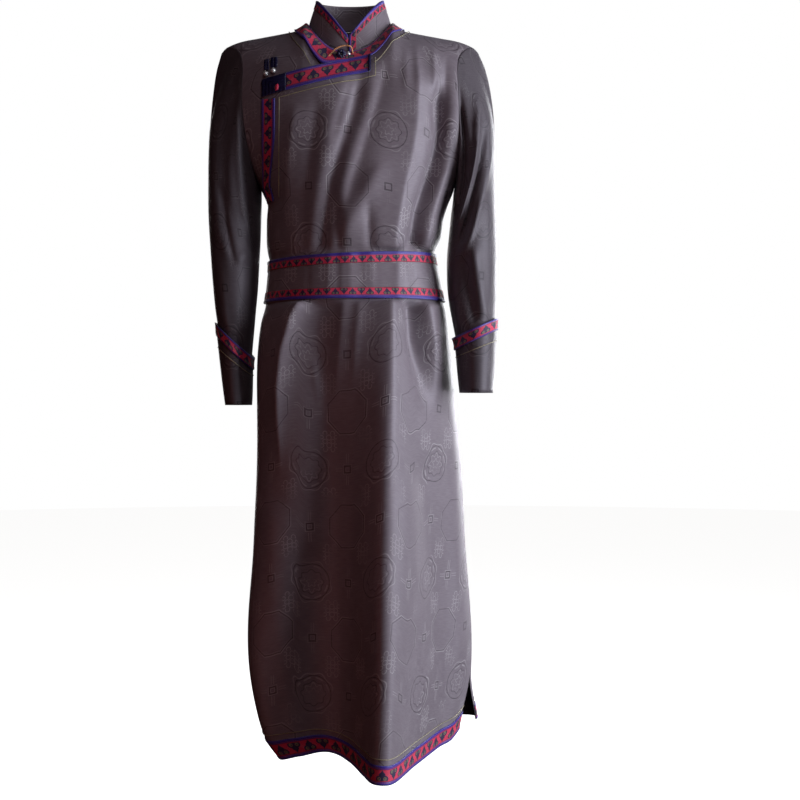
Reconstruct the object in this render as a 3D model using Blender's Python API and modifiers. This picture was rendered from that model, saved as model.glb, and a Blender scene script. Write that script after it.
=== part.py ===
"""Mongolian deel: a long belted robe of silk damask with ribbon trims, as it is worn.

Metres, +Z up. The front faces -Y and the wearer's left is at +X. The origin is the base of the neck, where
the wearer's shoulders hold the robe. Every cloth piece is an open sheet with Solidify: its points are the
outer face and the wall grows inwards.

A place on the body is (turn, level). turn goes round the wearer in degrees: 0 at the centre front, 90 at the
left side seam, 180 at the centre back, 270 or -90 at the right side seam. level is a height up to CHEST, and
above it the surface rounds over the shoulders until SHOULDER.
"""

import math
from collections import namedtuple

import bmesh
import bpy
from mathutils import Vector

# Cloth and the spaces between pieces.
CLOTH = 0.0015
RIBBON = 0.0010
BELT_WALL = 0.0020
SEAM = 0.0004
SIDE_SEAM = 0.0006
OVERLAP = CLOTH + 0.0006
INNER_DROP = 0.0012

# Levels of the body.
HEM = -1.210
SLIT_TOP = -1.093
SLIT_TURNS = 36.0
SLIT_PARTING = Vector((0.018, 0.025, 0.004))
SKIRT_TOP = -0.470
BELT_FOOT = -0.456
BELT_TOP = -0.380
BELT_TILT = 0.0065
BELT_TILT_REACH = 0.06
ARMPIT = -0.265
CHEST = -0.130
SHOULDER = -0.030

# Neck opening, as an ellipse seen from above.
NECK_HALF = 0.073
NECK_FRONT = 0.0725
NECK_BACK = 0.055

ARMHOLE_HALF = 0.068
SHOULDER_TIP = Vector((0.218, 0.0, -0.031))

# Trims.
TRIM = 0.029
NECK_TRIM_SIDE = 0.0190
NECK_TRIM_FRONT = 0.0135
NECK_TRIM_BACK = 0.0153
NECK_TRIM_CORNER = 0.0120
NECK_TRIM_ROWS = 4
NECK_TRIM_LIFT = 0.0027
HEM_TRIM = 0.030
BELT_TRIM = 0.018
OVERLAP_EDGE = -0.1405
EDGE_FOOT = -0.345
DRAWN_FROM = -35.0
BREAST_LINE_AT_CENTRE = -0.0645
BREAST_LINE_SLOPE = 0.213
BREAST_BAND_END = 0.0365
CORNER_END = -0.100
SIDE_BAND = 0.0225
SIDE_BAND_FOOT = -0.290
SIDE_BAND_HEAD = -0.1288
BAND_ROOM = 0.0004
BAND_INSET = 0.0005
CORNER_LIFT = 0.0008
CORNER_PUFF = 0.0014

# The body's half-widths and depths from the middle, at heights.
Ring = namedtuple("Ring", "level right left front back")
RINGS = (
    Ring(-1.210, 0.118, 0.203, 0.125, 0.125),
    Ring(-1.180, 0.141, 0.204, 0.125, 0.125),
    Ring(-1.137, 0.156, 0.206, 0.126, 0.125),
    Ring(-1.066, 0.169, 0.208, 0.127, 0.125),
    Ring(-0.992, 0.171, 0.205, 0.128, 0.125),
    Ring(-0.885, 0.163, 0.197, 0.128, 0.124),
    Ring(-0.823, 0.160, 0.194, 0.128, 0.124),
    Ring(-0.730, 0.156, 0.189, 0.128, 0.123),
    Ring(-0.628, 0.153, 0.179, 0.127, 0.121),
    Ring(-0.560, 0.153, 0.173, 0.126, 0.119),
    Ring(-0.520, 0.151, 0.168, 0.124, 0.117),
    Ring(-0.489, 0.147, 0.165, 0.122, 0.113),
    Ring(-0.470, 0.142, 0.162, 0.118, 0.107),
    Ring(-0.456, 0.1405, 0.1577, 0.114, 0.102),
    Ring(-0.418, 0.136, 0.149, 0.112, 0.100),
    Ring(-0.380, 0.134, 0.142, 0.111, 0.099),
    Ring(-0.366, 0.137, 0.147, 0.117, 0.103),
    Ring(-0.349, 0.139, 0.154, 0.121, 0.105),
    Ring(-0.317, 0.139, 0.158, 0.124, 0.106),
    Ring(-0.290, 0.1395, 0.166, 0.125, 0.107),
    Ring(-0.265, 0.150, 0.176, 0.124, 0.108),
    Ring(-0.248, 0.156, 0.179, 0.123, 0.108),
    Ring(-0.200, 0.168, 0.182, 0.120, 0.108),
    Ring(-0.130, 0.176, 0.182, 0.113, 0.105),
    Ring(-0.087, 0.177, 0.181, 0.113, 0.105),
    Ring(-0.063, 0.190, 0.195, 0.113, 0.105),
    Ring(-0.030, 0.218, 0.218, 0.113, 0.105),
)

# The shoulder seam's height, by distance from the middle.
Shoulder = namedtuple("Shoulder", "across height")
SHOULDERS = (
    Shoulder(0.073, 0.0150),
    Shoulder(0.082, 0.0090),
    Shoulder(0.092, 0.0040),
    Shoulder(0.109, 0.0005),
    Shoulder(0.151, -0.0070),
    Shoulder(0.184, -0.0130),
    Shoulder(0.207, -0.0220),
    Shoulder(0.218, -0.0310),
)

# The height that the yoke's curve aims at inside the neck opening.
Crown = namedtuple("Crown", "across front back")
CROWNS = (
    Crown(0.000, -0.0260, 0.0460),
    Crown(0.030, -0.0166, 0.0400),
    Crown(0.055, 0.0000, 0.0270),
    Crown(0.073, 0.0150, 0.0150),
)

# The hem's line: the front comes forward in one deep fold left of the middle.
Hem = namedtuple("Hem", "turn x y z")
HEMS = (
    Hem(-90.0, -0.118, 0.015, -1.205),
    Hem(-65.0, -0.112, -0.056, -1.214),
    Hem(-40.0, -0.078, -0.066, -1.208),
    Hem(-15.0, -0.036, -0.062, -1.203),
    Hem(0.0, 0.000, -0.094, -1.211),
    Hem(12.0, 0.030, -0.142, -1.221),
    Hem(24.8, 0.058, -0.170, -1.227),
    Hem(45.0, 0.106, -0.088, -1.218),
    Hem(65.0, 0.153, -0.002, -1.2075),
    Hem(78.0, 0.184, 0.033, -1.199),
    Hem(90.0, 0.203, 0.073, -1.188),
    Hem(101.0, 0.206, 0.100, -1.185),
    Hem(116.0, 0.186, 0.126, -1.184),
    Hem(140.0, 0.124, 0.144, -1.183),
    Hem(180.0, 0.000, 0.140, -1.183),
    Hem(215.0, -0.072, 0.115, -1.190),
    Hem(245.0, -0.110, 0.068, -1.197),
    Hem(270.0, -0.118, 0.015, -1.205),
)

# Folds pressed into the front and back: a line from top to bottom, seen from the front, its width on
# either side and its height. A trough has a negative height.
Fold = namedtuple("Fold", "name path right left height")
FRONT_FOLDS = (
    Fold("breast pull",
         ((0.012, -0.125), (0.006, -0.171), (-0.018, -0.232), (-0.034, -0.294), (-0.044, -0.376)),
         0.016, 0.012, -0.0075),
    Fold("breast pull, shallow",
         ((0.053, -0.115), (0.035, -0.155), (0.011, -0.224), (-0.007, -0.262)),
         0.012, 0.012, -0.0035),
    Fold("breast swell", ((0.050, -0.250), (0.022, -0.300), (-0.001, -0.345)), 0.018, 0.018, 0.0050),
    Fold("left breast edge",
         ((0.112, -0.125), (0.111, -0.184), (0.099, -0.232), (0.090, -0.278), (0.074, -0.376)),
         0.022, 0.014, 0.0060),
    Fold("left side hollow",
         ((0.150, -0.215), (0.132, -0.265), (0.116, -0.304), (0.105, -0.376)),
         0.010, 0.013, -0.0085),
    Fold("left side ridge",
         ((0.160, -0.250), (0.146, -0.290), (0.132, -0.335), (0.124, -0.376)),
         0.010, 0.011, 0.0045),
    Fold("right breast pull", ((-0.052, -0.175), (-0.064, -0.240), (-0.070, -0.376)),
         0.014, 0.014, -0.0030),
    Fold("front ridge", ((0.066, -0.460), (0.065, -0.560), (0.063, -0.700), (0.061, -0.900)),
         0.020, 0.026, 0.0060),
    Fold("left waist hollow", ((0.108, -0.460), (0.122, -0.525), (0.125, -0.590), (0.127, -0.650)),
         0.016, 0.015, -0.0100),
    Fold("right waist ridge",
         ((-0.067, -0.460), (-0.087, -0.486), (-0.100, -0.534), (-0.105, -0.600), (-0.100, -0.740)),
         0.014, 0.014, 0.0075),
    Fold("right waist hollow", ((-0.045, -0.460), (-0.060, -0.500), (-0.072, -0.560), (-0.078, -0.650)),
         0.014, 0.014, -0.0045),
    Fold("middle waist ridge", ((-0.007, -0.462), (-0.012, -0.530), (-0.023, -0.640)),
         0.013, 0.013, 0.0035),
)
BACK_FOLDS = (
    Fold("right shoulder blade", ((-0.110, -0.130), (-0.092, -0.230), (-0.070, -0.376)),
         0.016, 0.018, -0.0055),
    Fold("right back pull", ((-0.046, -0.220), (-0.040, -0.300), (-0.034, -0.376)),
         0.012, 0.013, -0.0045),
    Fold("middle back swell", ((0.004, -0.200), (0.000, -0.290), (-0.004, -0.376)),
         0.018, 0.017, 0.0050),
    Fold("left back pull", ((0.070, -0.150), (0.052, -0.250), (0.040, -0.376)),
         0.014, 0.013, -0.0050),
    Fold("left shoulder blade", ((0.124, -0.160), (0.106, -0.270), (0.092, -0.376)),
         0.015, 0.017, -0.0060),
    Fold("right seat ridge", ((-0.090, -0.460), (-0.102, -0.600), (-0.104, -0.820)),
         0.018, 0.016, 0.0070),
    Fold("right seat hollow", ((-0.050, -0.460), (-0.058, -0.620), (-0.060, -0.900)),
         0.016, 0.018, -0.0080),
    Fold("middle seat ridge", ((-0.004, -0.460), (0.002, -0.640), (0.006, -0.960)),
         0.019, 0.020, 0.0090),
    Fold("left seat hollow", ((0.048, -0.460), (0.058, -0.600), (0.070, -0.860)),
         0.018, 0.017, -0.0080),
    Fold("left seat ridge", ((0.096, -0.460), (0.112, -0.620), (0.124, -0.880)),
         0.018, 0.018, 0.0075),
)
FOLD_FADE = 0.050
BELT_GRIP = 0.014

# Sleeve sections from the armhole to the end, as their outer and inner edge seen from the front, and how
# far forward and deep they are. Distances from the middle are positive on both sides.
Section = namedtuple("Section", "outer outer_z inner inner_z middle_y half_depth")
Keyed = namedtuple("Keyed", ("length",) + Section._fields)
LEFT_SLEEVE = (
    Section(0.2180, -0.031, 0.1760, -0.265, 0.000, 0.068),
    Section(0.2300, -0.060, 0.1745, -0.283, -0.001, 0.068),
    Section(0.2390, -0.100, 0.1720, -0.303, -0.003, 0.067),
    Section(0.2445, -0.150, 0.1695, -0.327, -0.006, 0.065),
    Section(0.2450, -0.205, 0.1670, -0.351, -0.010, 0.063),
    Section(0.2450, -0.260, 0.1645, -0.377, -0.014, 0.061),
    Section(0.2465, -0.315, 0.1640, -0.404, -0.018, 0.059),
    Section(0.2475, -0.365, 0.1650, -0.433, -0.021, 0.057),
    Section(0.2470, -0.415, 0.1680, -0.460, -0.024, 0.055),
    Section(0.2460, -0.455, 0.1730, -0.488, -0.027, 0.053),
    Section(0.2450, -0.485, 0.1780, -0.514, -0.028, 0.051),
    Section(0.2440, -0.505, 0.1815, -0.534, -0.029, 0.050),
    Section(0.2390, -0.608, 0.1870, -0.608, -0.030, 0.048),
)
RIGHT_SLEEVE = (
    Section(0.2180, -0.031, 0.1500, -0.265, 0.000, 0.068),
    Section(0.2265, -0.062, 0.1500, -0.284, -0.001, 0.068),
    Section(0.2320, -0.100, 0.1505, -0.304, -0.003, 0.067),
    Section(0.2365, -0.150, 0.1510, -0.328, -0.006, 0.065),
    Section(0.2385, -0.205, 0.1515, -0.353, -0.010, 0.063),
    Section(0.2385, -0.260, 0.1525, -0.380, -0.014, 0.061),
    Section(0.2375, -0.312, 0.1535, -0.408, -0.018, 0.059),
    Section(0.2340, -0.365, 0.1550, -0.437, -0.021, 0.057),
    Section(0.2300, -0.417, 0.1575, -0.467, -0.024, 0.055),
    Section(0.2255, -0.462, 0.1605, -0.505, -0.027, 0.053),
    Section(0.2210, -0.494, 0.1640, -0.545, -0.028, 0.051),
    Section(0.2190, -0.515, 0.1650, -0.565, -0.029, 0.050),
    Section(0.2060, -0.6285, 0.1660, -0.6285, -0.030, 0.047),
)
CUFF_SECTION = 10
SLEEVE_TWIST_FADE = 3.5
CUFF_PROUD_TOP = 0.0040
CUFF_PROUD_FOOT = 0.0022
SLANT_ROOM = 0.0008
SLEEVE_SHORT_OF_CUFF = 0.08
SLEEVE_START = 0.060

COLLAR_TOP_HALF = 0.0575
COLLAR_TOP_FRONT = 0.0680
COLLAR_TOP_BACK = 0.0480
COLLAR_V = -0.0190
COLLAR_V_RISE = 0.0760
COLLAR_BACK_RISE = 0.0050
COLLAR_PARTING = 0.0006
COLLAR_STAND = 0.0010
COLLAR_TRIM = 0.015

BALL = 0.0043
TAB_WALL = 0.0020
TAB_LIFT = 0.0019
TAB_PUFF = 0.0012
Tab = namedtuple("Tab", "x ball_z foot head half")
TABS = (
    Tab(-0.1340, -0.0850, -0.0785, -0.0600, 0.0042),
    Tab(-0.1215, -0.0812, -0.0745, -0.0570, 0.0060),
)
KNOT = (0.0085, 0.0042, 0.0085)
BEAD = (0.0038, 0.0038, 0.0038)
CORD = 0.0009
# The loop's free part, in front of the collar.
LOOP_Y = -0.0835
LOOP_BOW = ((-0.0205, -0.0435), (-0.0085, -0.0385), (0.0035, -0.0395))

PALETTE = {
    "damask": ((0.150, 0.130, 0.150, 1.0), 0.45, 0.0),
    "ribbon": ((0.480, 0.030, 0.060, 1.0), 0.60, 0.0),
    "binding": ((0.020, 0.020, 0.160, 1.0), 0.55, 0.0),
    "silver": ((0.620, 0.620, 0.640, 1.0), 0.28, 1.0),
    "gold_cord": ((0.700, 0.330, 0.120, 1.0), 0.50, 0.0),
}


def clear_scene():
    for old in list(bpy.data.objects):
        bpy.data.objects.remove(old, do_unlink=True)
    robe = bpy.data.collections.new("mongolian_deel")
    bpy.context.scene.collection.children.link(robe)
    return robe


def paint(name):
    """The named material, made on first use."""
    if name not in bpy.data.materials:
        colour, roughness, metallic = PALETTE[name]
        made = bpy.data.materials.new(name)
        made.use_nodes = True
        shader = made.node_tree.nodes["Principled BSDF"]
        shader.inputs["Base Color"].default_value = colour
        shader.inputs["Roughness"].default_value = roughness
        shader.inputs["Metallic"].default_value = metallic
    return bpy.data.materials[name]


def keep(piece, name, material, robe):
    piece.name = name
    piece.data.name = name
    for home in list(piece.users_collection):
        home.objects.unlink(piece)
    robe.objects.link(piece)
    piece.data.materials.append(paint(material))
    return piece


def smooth_step(value):
    value = min(max(value, 0.0), 1.0)
    return value * value * (3.0 - 2.0 * value)


def slope(keys, values, at):
    """The tangent of a smooth curve through the rows, at one of them."""
    low, high = max(at - 1, 0), min(at + 1, len(keys) - 1)
    return (values[high] - values[low]) / (keys[high] - keys[low])


def read(table, column, at):
    """A table's column between its rows, on a smooth curve through them. The first column is the key."""
    keys = [row[0] for row in table]
    values = [getattr(row, column) for row in table]
    if at <= keys[0]:
        return values[0]
    if at >= keys[-1]:
        return values[-1]
    i = max(k for k in range(len(keys) - 1) if keys[k] <= at)
    step = keys[i + 1] - keys[i]
    t = (at - keys[i]) / step
    start, end = slope(keys, values, i) * step, slope(keys, values, i + 1) * step
    lean = (2 * t**3 - 3 * t**2 + 1) * values[i] + (t**3 - 2 * t**2 + t) * start
    return lean + (3 * t**2 - 2 * t**3) * values[i + 1] + (t**3 - t**2) * end


def between(points, z):
    """x at height z on a line from top to bottom."""
    for (x0, z0), (x1, z1) in zip(points, points[1:]):
        if z >= z1:
            return x0 + (x1 - x0) * min(max((z0 - z) / (z0 - z1), 0.0), 1.0)
    return points[-1][0]


def fold_height(folds, x, z):
    """How far the folds together stand off at a place seen from the front."""
    total = 0.0
    for fold in folds:
        top, foot = fold.path[0][1], fold.path[-1][1]
        shown = smooth_step((top + FOLD_FADE / 2 - z) / FOLD_FADE)
        shown *= smooth_step((z - foot + FOLD_FADE / 2) / FOLD_FADE)
        if shown > 0.0:
            off = x - between(fold.path, z)
            width = fold.left if off > 0 else fold.right
            total += fold.height * shown * math.exp(-((off / width) ** 2))
    return total


def body_half(turn, level):
    return read(RINGS, "left" if math.sin(math.radians(turn)) > 0 else "right", level)


def armhole_depth(level):
    """Half the armhole's opening, front to back."""
    if level >= CHEST:
        return ARMHOLE_HALF
    if level <= ARMPIT:
        return 0.0
    return ARMHOLE_HALF * math.sqrt(1.0 - ((CHEST - level) / (CHEST - ARMPIT)) ** 2)


def plain_body(turn, level):
    """The body without its folds."""
    angle = math.radians(turn)
    ahead = math.cos(angle) >= 0.0
    facing = -1.0 if ahead else 1.0
    side = "front" if ahead else "back"
    x = body_half(turn, level) * math.sin(angle)
    hollow = armhole_depth(level)
    bulge = abs(math.cos(angle)) ** (1.0 + hollow / ARMHOLE_HALF)
    y = facing * (hollow + (read(RINGS, side, level) - hollow) * bulge)
    if level > CHEST:
        over = math.radians(90.0) * (level - CHEST) / (SHOULDER - CHEST)
        crown = read(CROWNS, side, abs(x)) if abs(x) < NECK_HALF else read(SHOULDERS, "height", abs(x))
        return Vector((x, y * math.cos(over), CHEST + (crown - CHEST) * math.sin(over)))
    z = level + BELT_TILT * math.sin(angle) * math.exp(-(((level - BELT_TOP) / BELT_TILT_REACH) ** 2))
    if level < SKIRT_TOP:
        drop = (SKIRT_TOP - level) / (SKIRT_TOP - HEM)
        at = turn - 360.0 if turn > 270.0 else turn
        hem_half = body_half(turn, HEM)
        x += body_half(turn, level) * (read(HEMS, "x", at) / hem_half - math.sin(angle)) * drop
        y += (read(HEMS, "y", at) - y) * drop
        z += (read(HEMS, "z", at) - HEM) * drop
    return Vector((x, y, z))


def outward(turn, level):
    step = 0.5
    low, high = max(level - 0.004, HEM), min(level + 0.004, SHOULDER)
    across = plain_body(turn + step, level) - plain_body(turn - step, level)
    if abs(abs((turn + 90.0) % 180.0 - 90.0) - 90.0) < step:
        across = Vector((0.0, 1.0, 0.0)) * (1.0 if math.sin(math.radians(turn)) > 0 else -1.0)
    return across.cross(plain_body(turn, high) - plain_body(turn, low)).normalized()


def slit(turn, z, edge):
    """How the two edges of the left side slit part towards the hem."""
    near = smooth_step(1.0 - abs(turn - 90.0) / SLIT_TURNS)
    return SLIT_PARTING * smooth_step((SLIT_TOP - z) / (SLIT_TOP - HEM)) * near * edge


def body(turn, level, lift=0.0):
    """A point of the body's outer face, moved out by lift."""
    point = plain_body(turn, level)
    ahead = -90.0 <= turn <= 90.0
    free = smooth_step((level - BELT_TOP) / BELT_GRIP) + smooth_step((BELT_FOOT - level) / BELT_GRIP)
    fold = fold_height(FRONT_FOLDS if ahead else BACK_FOLDS, point.x, point.z) * free
    fold *= smooth_step(abs(math.cos(math.radians(turn))) * 3.0)
    point += outward(turn, level) * (fold + lift)
    edge = -1.0 if ahead else 1.0
    point += slit(turn, point.z, edge)
    point.y += edge * SIDE_SEAM / 2
    return point


def neck_level(turn):
    """The level where a column meets the neck opening, or the shoulder seam outside it."""
    deep = NECK_FRONT if math.cos(math.radians(turn)) > 0 else NECK_BACK
    low, high = CHEST, SHOULDER
    for _ in range(30):
        middle = (low + high) / 2
        point = plain_body(turn, middle)
        inside = (point.x / NECK_HALF) ** 2 + (point.y / deep) ** 2 < 1.0
        low, high = (low, middle) if inside else (middle, high)
    return low if low < SHOULDER - 1e-5 else SHOULDER


def level_at_height(turn, z):
    """The level of a column where it is at height z, between the belt and the shoulder."""
    low, high = BELT_TOP, SHOULDER
    for _ in range(24):
        middle = (low + high) / 2
        low, high = (middle, high) if plain_body(turn, middle).z < z else (low, middle)
    return low


def turn_at(x, level):
    return math.degrees(math.asin(max(-1.0, min(1.0, x / body_half(math.copysign(90.0, x), level)))))


def breast_line(x):
    """Height of the outer front's slanted upper edge."""
    return BREAST_LINE_AT_CENTRE + BREAST_LINE_SLOPE * x


def spaced(start, end, cells):
    return [start + (end - start) * i / cells for i in range(cells)]


TINY = 0.00001
YOKE_TURN = 24.8
NECK_SHARE = NECK_HALF / SHOULDER_TIP.x
NECK_TURN = math.degrees(math.asin(NECK_SHARE))
NECK_TURNS = [math.degrees(math.asin(NECK_SHARE * math.sin(math.radians(18.0 * k)))) for k in range(-5, 6)]
FRONT_TURNS = spaced(-90.0, -YOKE_TURN, 7) + [-YOKE_TURN] + NECK_TURNS + spaced(YOKE_TURN, 90.0, 8) + [90.0]
BACK_TURNS = (
    spaced(90.0 + TINY, 180.0 - YOKE_TURN, 6) + [180.0 - YOKE_TURN] + [180.0 + turn for turn in NECK_TURNS]
    + spaced(180.0 + YOKE_TURN, 270.0 - TINY, 6) + [270.0 - TINY]
)
COLLAR_TURNS = NECK_TURNS[5:] + [180.0 + turn for turn in NECK_TURNS[1:]] + NECK_TURNS[1:6]
SKIRT_LEVELS = [HEM, HEM + HEM_TRIM, -1.115, -1.04, -0.95, -0.85, -0.75, -0.66, -0.59, -0.535, -0.495]
SKIRT_LEVELS.append(SKIRT_TOP)
BELT_LEVELS = [BELT_FOOT, BELT_FOOT + BELT_TRIM, BELT_TOP - BELT_TRIM, BELT_TOP]
WAIST_LEVELS = [*BELT_LEVELS, -0.366, -0.345, -0.317, -0.290]
ARMHOLE_LEVELS = [CHEST - (CHEST - ARMPIT) * math.sin(math.radians(a)) for a in (90.0, 67.5, 45.0, 22.5)]
YOKE_STOPS = (0.20, 0.40, 0.60, 0.78, 0.91, 1.00)
LOW_LEVELS = SKIRT_LEVELS + WAIST_LEVELS + ARMHOLE_LEVELS + [CHEST]


def levels_of(top):
    """All rows of a column from the hem to its top level."""
    return LOW_LEVELS + [CHEST + (top - CHEST) * stop for stop in YOKE_STOPS]


def sheet(name, material, robe, place, columns, rows, wall, closed=False):
    """A grid whose points are moved by place(column, row), with a wall on its inner side."""
    bpy.ops.mesh.primitive_grid_add(x_subdivisions=columns, y_subdivisions=rows, size=1.0)
    piece = bpy.context.object
    for vertex in piece.data.vertices:
        column = round((vertex.co.x + 0.5) * columns)
        row = round((vertex.co.y + 0.5) * rows)
        vertex.co = place(column, row)
    if closed:
        form = bmesh.new()
        form.from_mesh(piece.data)
        bmesh.ops.remove_doubles(form, verts=form.verts, dist=0.00001)
        form.to_mesh(piece.data)
        form.free()
    piece.data.shade_smooth()
    solid = piece.modifiers.new("wall", "SOLIDIFY")
    solid.thickness = wall
    solid.offset = -1.0
    return keep(piece, name, material, robe)


def overlap_lift(turn):
    """How far the outer front stands off, where it covers the inner one: from the right side seam until
    just past the middle."""
    at = turn - 360.0 if turn > 180.0 else turn
    if at > 90.0 or at < -95.0:
        return 0.0
    return OVERLAP * (1.0 - smooth_step((at + 2.0) / 10.0))


def outer_turn(turn, level):
    """The outer front's columns, drawn in at its breast edge."""
    if turn >= DRAWN_FROM:
        return turn
    drawn = turn_at(OVERLAP_EDGE, max(level, ARMPIT))
    drawn = -90.0 + (drawn + 90.0) * smooth_step((level - EDGE_FOOT) / (ARMPIT - EDGE_FOOT))
    return DRAWN_FROM + (turn - DRAWN_FROM) * (drawn - DRAWN_FROM) / (-90.0 - DRAWN_FROM)


def outer_front(robe):
    def place(column, row):
        turn = FRONT_TURNS[column]
        top = neck_level(turn)
        if turn < -1e-6:
            level = levels_of(SHOULDER)[row]
            for _ in range(4):
                drawn = outer_turn(turn, level)
                top = level_at_height(drawn, breast_line(plain_body(drawn, level).x))
                level = levels_of(top)[row]
            turn = drawn
        return body(turn, levels_of(top)[row], overlap_lift(turn))

    return sheet("outer_front", "damask", robe, place, len(FRONT_TURNS) - 1, len(levels_of(CHEST)) - 1, CLOTH)


def inner_front(robe):
    turns = [turn for turn in FRONT_TURNS if turn < TINY]

    def place(column, row):
        turn = turns[column]
        level = levels_of(neck_level(turn))[row]
        point = plain_body(turn, level)
        covered = smooth_step((turn - outer_turn(-90.0, level) + 6.0) / 8.0)
        covered *= smooth_step((breast_line(point.x) + 0.012 - point.z) / 0.020)
        at_throat = smooth_step((level - CHEST + 0.02) / 0.03) * smooth_step(1.5 + turn / 14.0)
        return body(turn, level, -INNER_DROP * max(covered, 3.0 * at_throat))

    return sheet("inner_front", "damask", robe, place, len(turns) - 1, len(levels_of(CHEST)) - 1, CLOTH)


def back(robe):
    def place(column, row):
        turn = BACK_TURNS[column]
        return body(turn, levels_of(neck_level(turn))[row])

    return sheet("back", "damask", robe, place, len(BACK_TURNS) - 1, len(levels_of(CHEST)) - 1, CLOTH)


def armhole(side):
    """The armhole's points round from the armpit: up the front, then down the back, for a left sleeve."""
    levels = ARMHOLE_LEVELS + levels_of(SHOULDER)[len(LOW_LEVELS) - 1:]
    front_turn, back_turn = (90.0, BACK_TURNS[0]) if side > 0 else (-90.0, BACK_TURNS[-1])
    points = [body(front_turn, level) for level in levels]
    points += [body(back_turn, level) for level in reversed(levels[:-1])]
    points[0] = (points[0] + points[-1]) / 2
    points[-1] = points[0].copy()
    for point in points:
        point.x += side * SEAM
    return points


def sleeve_point(sections, side, loop, spoke, length, lift=0.0):
    """A point of a sleeve: spoke counts round the armhole's points, length counts sections."""
    table = [Keyed(i, *section) for i, section in enumerate(sections)]
    at = {column: read(table, column, length) for column in Section._fields}
    first = sections[0]
    middle = (first.outer_z + first.inner_z) / 2
    reach = (first.outer_z - first.inner_z) / 2
    here = loop[spoke]
    angle = math.acos(max(-1.0, min(1.0, (middle - here.z) / reach)))
    if spoke in (0, len(loop) - 1):
        angle = 0.0
    elif spoke > (len(loop) - 1) / 2:
        angle = 2 * math.pi - angle

    def oval(row, extra):
        centre_x = (row["outer"] + row["inner"]) / 2
        centre_z = (row["outer_z"] + row["inner_z"]) / 2
        arm = Vector(((row["outer"] - row["inner"]) / 2, 0.0, (row["outer_z"] - row["inner_z"]) / 2))
        arm += arm.normalized() * extra
        across = -arm * math.cos(angle)
        depth = -(row["half_depth"] + extra) * math.sin(angle)
        return Vector((side * (centre_x + across.x), row["middle_y"] + depth, centre_z + across.z))

    start = oval(first._asdict(), 0.0)
    fade = smooth_step(1.0 - length / SLEEVE_TWIST_FADE)
    return oval(at, lift) + (here - start) * fade


def tube(name, material, robe, sections, side, lengths, lifts, wall):
    """A stretch of sleeve or cuff between two lengths."""
    loop = armhole(side)
    spokes = list(range(len(loop)))
    if side < 0:
        spokes.reverse()

    def place(column, row):
        spoke = spokes[column]
        return sleeve_point(sections, side, loop, spoke, lengths[-1 - row], lifts[-1 - row])

    return sheet(name, material, robe, place, len(spokes) - 1, len(lengths) - 1, wall, closed=True)


def sleeves(robe):
    foot = CUFF_SECTION + 2
    for word, sections, side in (("left", LEFT_SLEEVE, 1.0), ("right", RIGHT_SLEEVE, -1.0)):
        lengths = [SLEEVE_START, *range(1, CUFF_SECTION + 2), foot - SLEEVE_SHORT_OF_CUFF]
        tube("sleeve_" + word, "damask", robe, sections, side, lengths, [0.0] * len(lengths), CLOTH)
        lengths = [CUFF_SECTION, CUFF_SECTION + 1, CUFF_SECTION + 1.5, foot]
        lifts = [CUFF_PROUD_TOP, CUFF_PROUD_TOP, CUFF_PROUD_FOOT + 0.0005, CUFF_PROUD_FOOT]
        tube("cuff_" + word, "damask", robe, sections, side, lengths, lifts, CLOTH)
        over = CUFF_PROUD_TOP + SEAM + RIBBON + SLANT_ROOM
        tube("cuff_trim_" + word, "ribbon", robe, sections, side, lengths[:2], [over, over], RIBBON)


def collar_point(step, up, lift=0.0):
    """A point of the collar over one of the neck opening's columns. up is 0 at the seam and 1 at the top."""
    turn = COLLAR_TURNS[step]
    foot = body(turn, neck_level(turn)) + Vector((0.0, 0.0, COLLAR_STAND))
    ahead = math.cos(math.radians(turn)) > 0.0
    angle = math.atan2(foot.x / NECK_HALF, -foot.y / (NECK_FRONT if ahead else NECK_BACK))
    deep = COLLAR_TOP_FRONT if ahead else COLLAR_TOP_BACK
    rise = COLLAR_V_RISE * abs(math.sin(angle))
    if not ahead:
        rise = COLLAR_V_RISE - COLLAR_BACK_RISE * math.cos(angle)
    top = Vector((COLLAR_TOP_HALF * math.sin(angle), -deep * math.cos(angle), COLLAR_V + rise))
    out = Vector((math.sin(angle), -math.cos(angle), 0.0))
    point = foot.lerp(top, up) + out * lift
    if step in (0, len(COLLAR_TURNS) - 1):
        point.x = COLLAR_PARTING if step == 0 else -COLLAR_PARTING
    return point


def over_yoke(x, y, lift):
    """A point over the shoulders, seen from above at x and y."""
    low, high = CHEST, SHOULDER
    for _ in range(26):
        level = (low + high) / 2
        turn = turn_at(x, level)
        turn = turn if y < 0 else 180.0 - turn
        low, high = (level, high) if abs(plain_body(turn, level).y) > abs(y) else (low, level)
    return body(turn, level, lift)


def collar(robe):
    heights = (0.0, 0.5, 1.0)

    def place(column, row):
        return collar_point(column, heights[row])

    sheet("collar", "damask", robe, place, len(COLLAR_TURNS) - 1, len(heights) - 1, CLOTH)

    def place_trim(column, row):
        tall = (collar_point(column, 1.0) - collar_point(column, 0.0)).length
        return collar_point(column, 1.0 - (1 - row) * COLLAR_TRIM / tall, 2 * SEAM + RIBBON)

    sheet("collar_trim", "ribbon", robe, place_trim, len(COLLAR_TURNS) - 1, 1, RIBBON)


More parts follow.
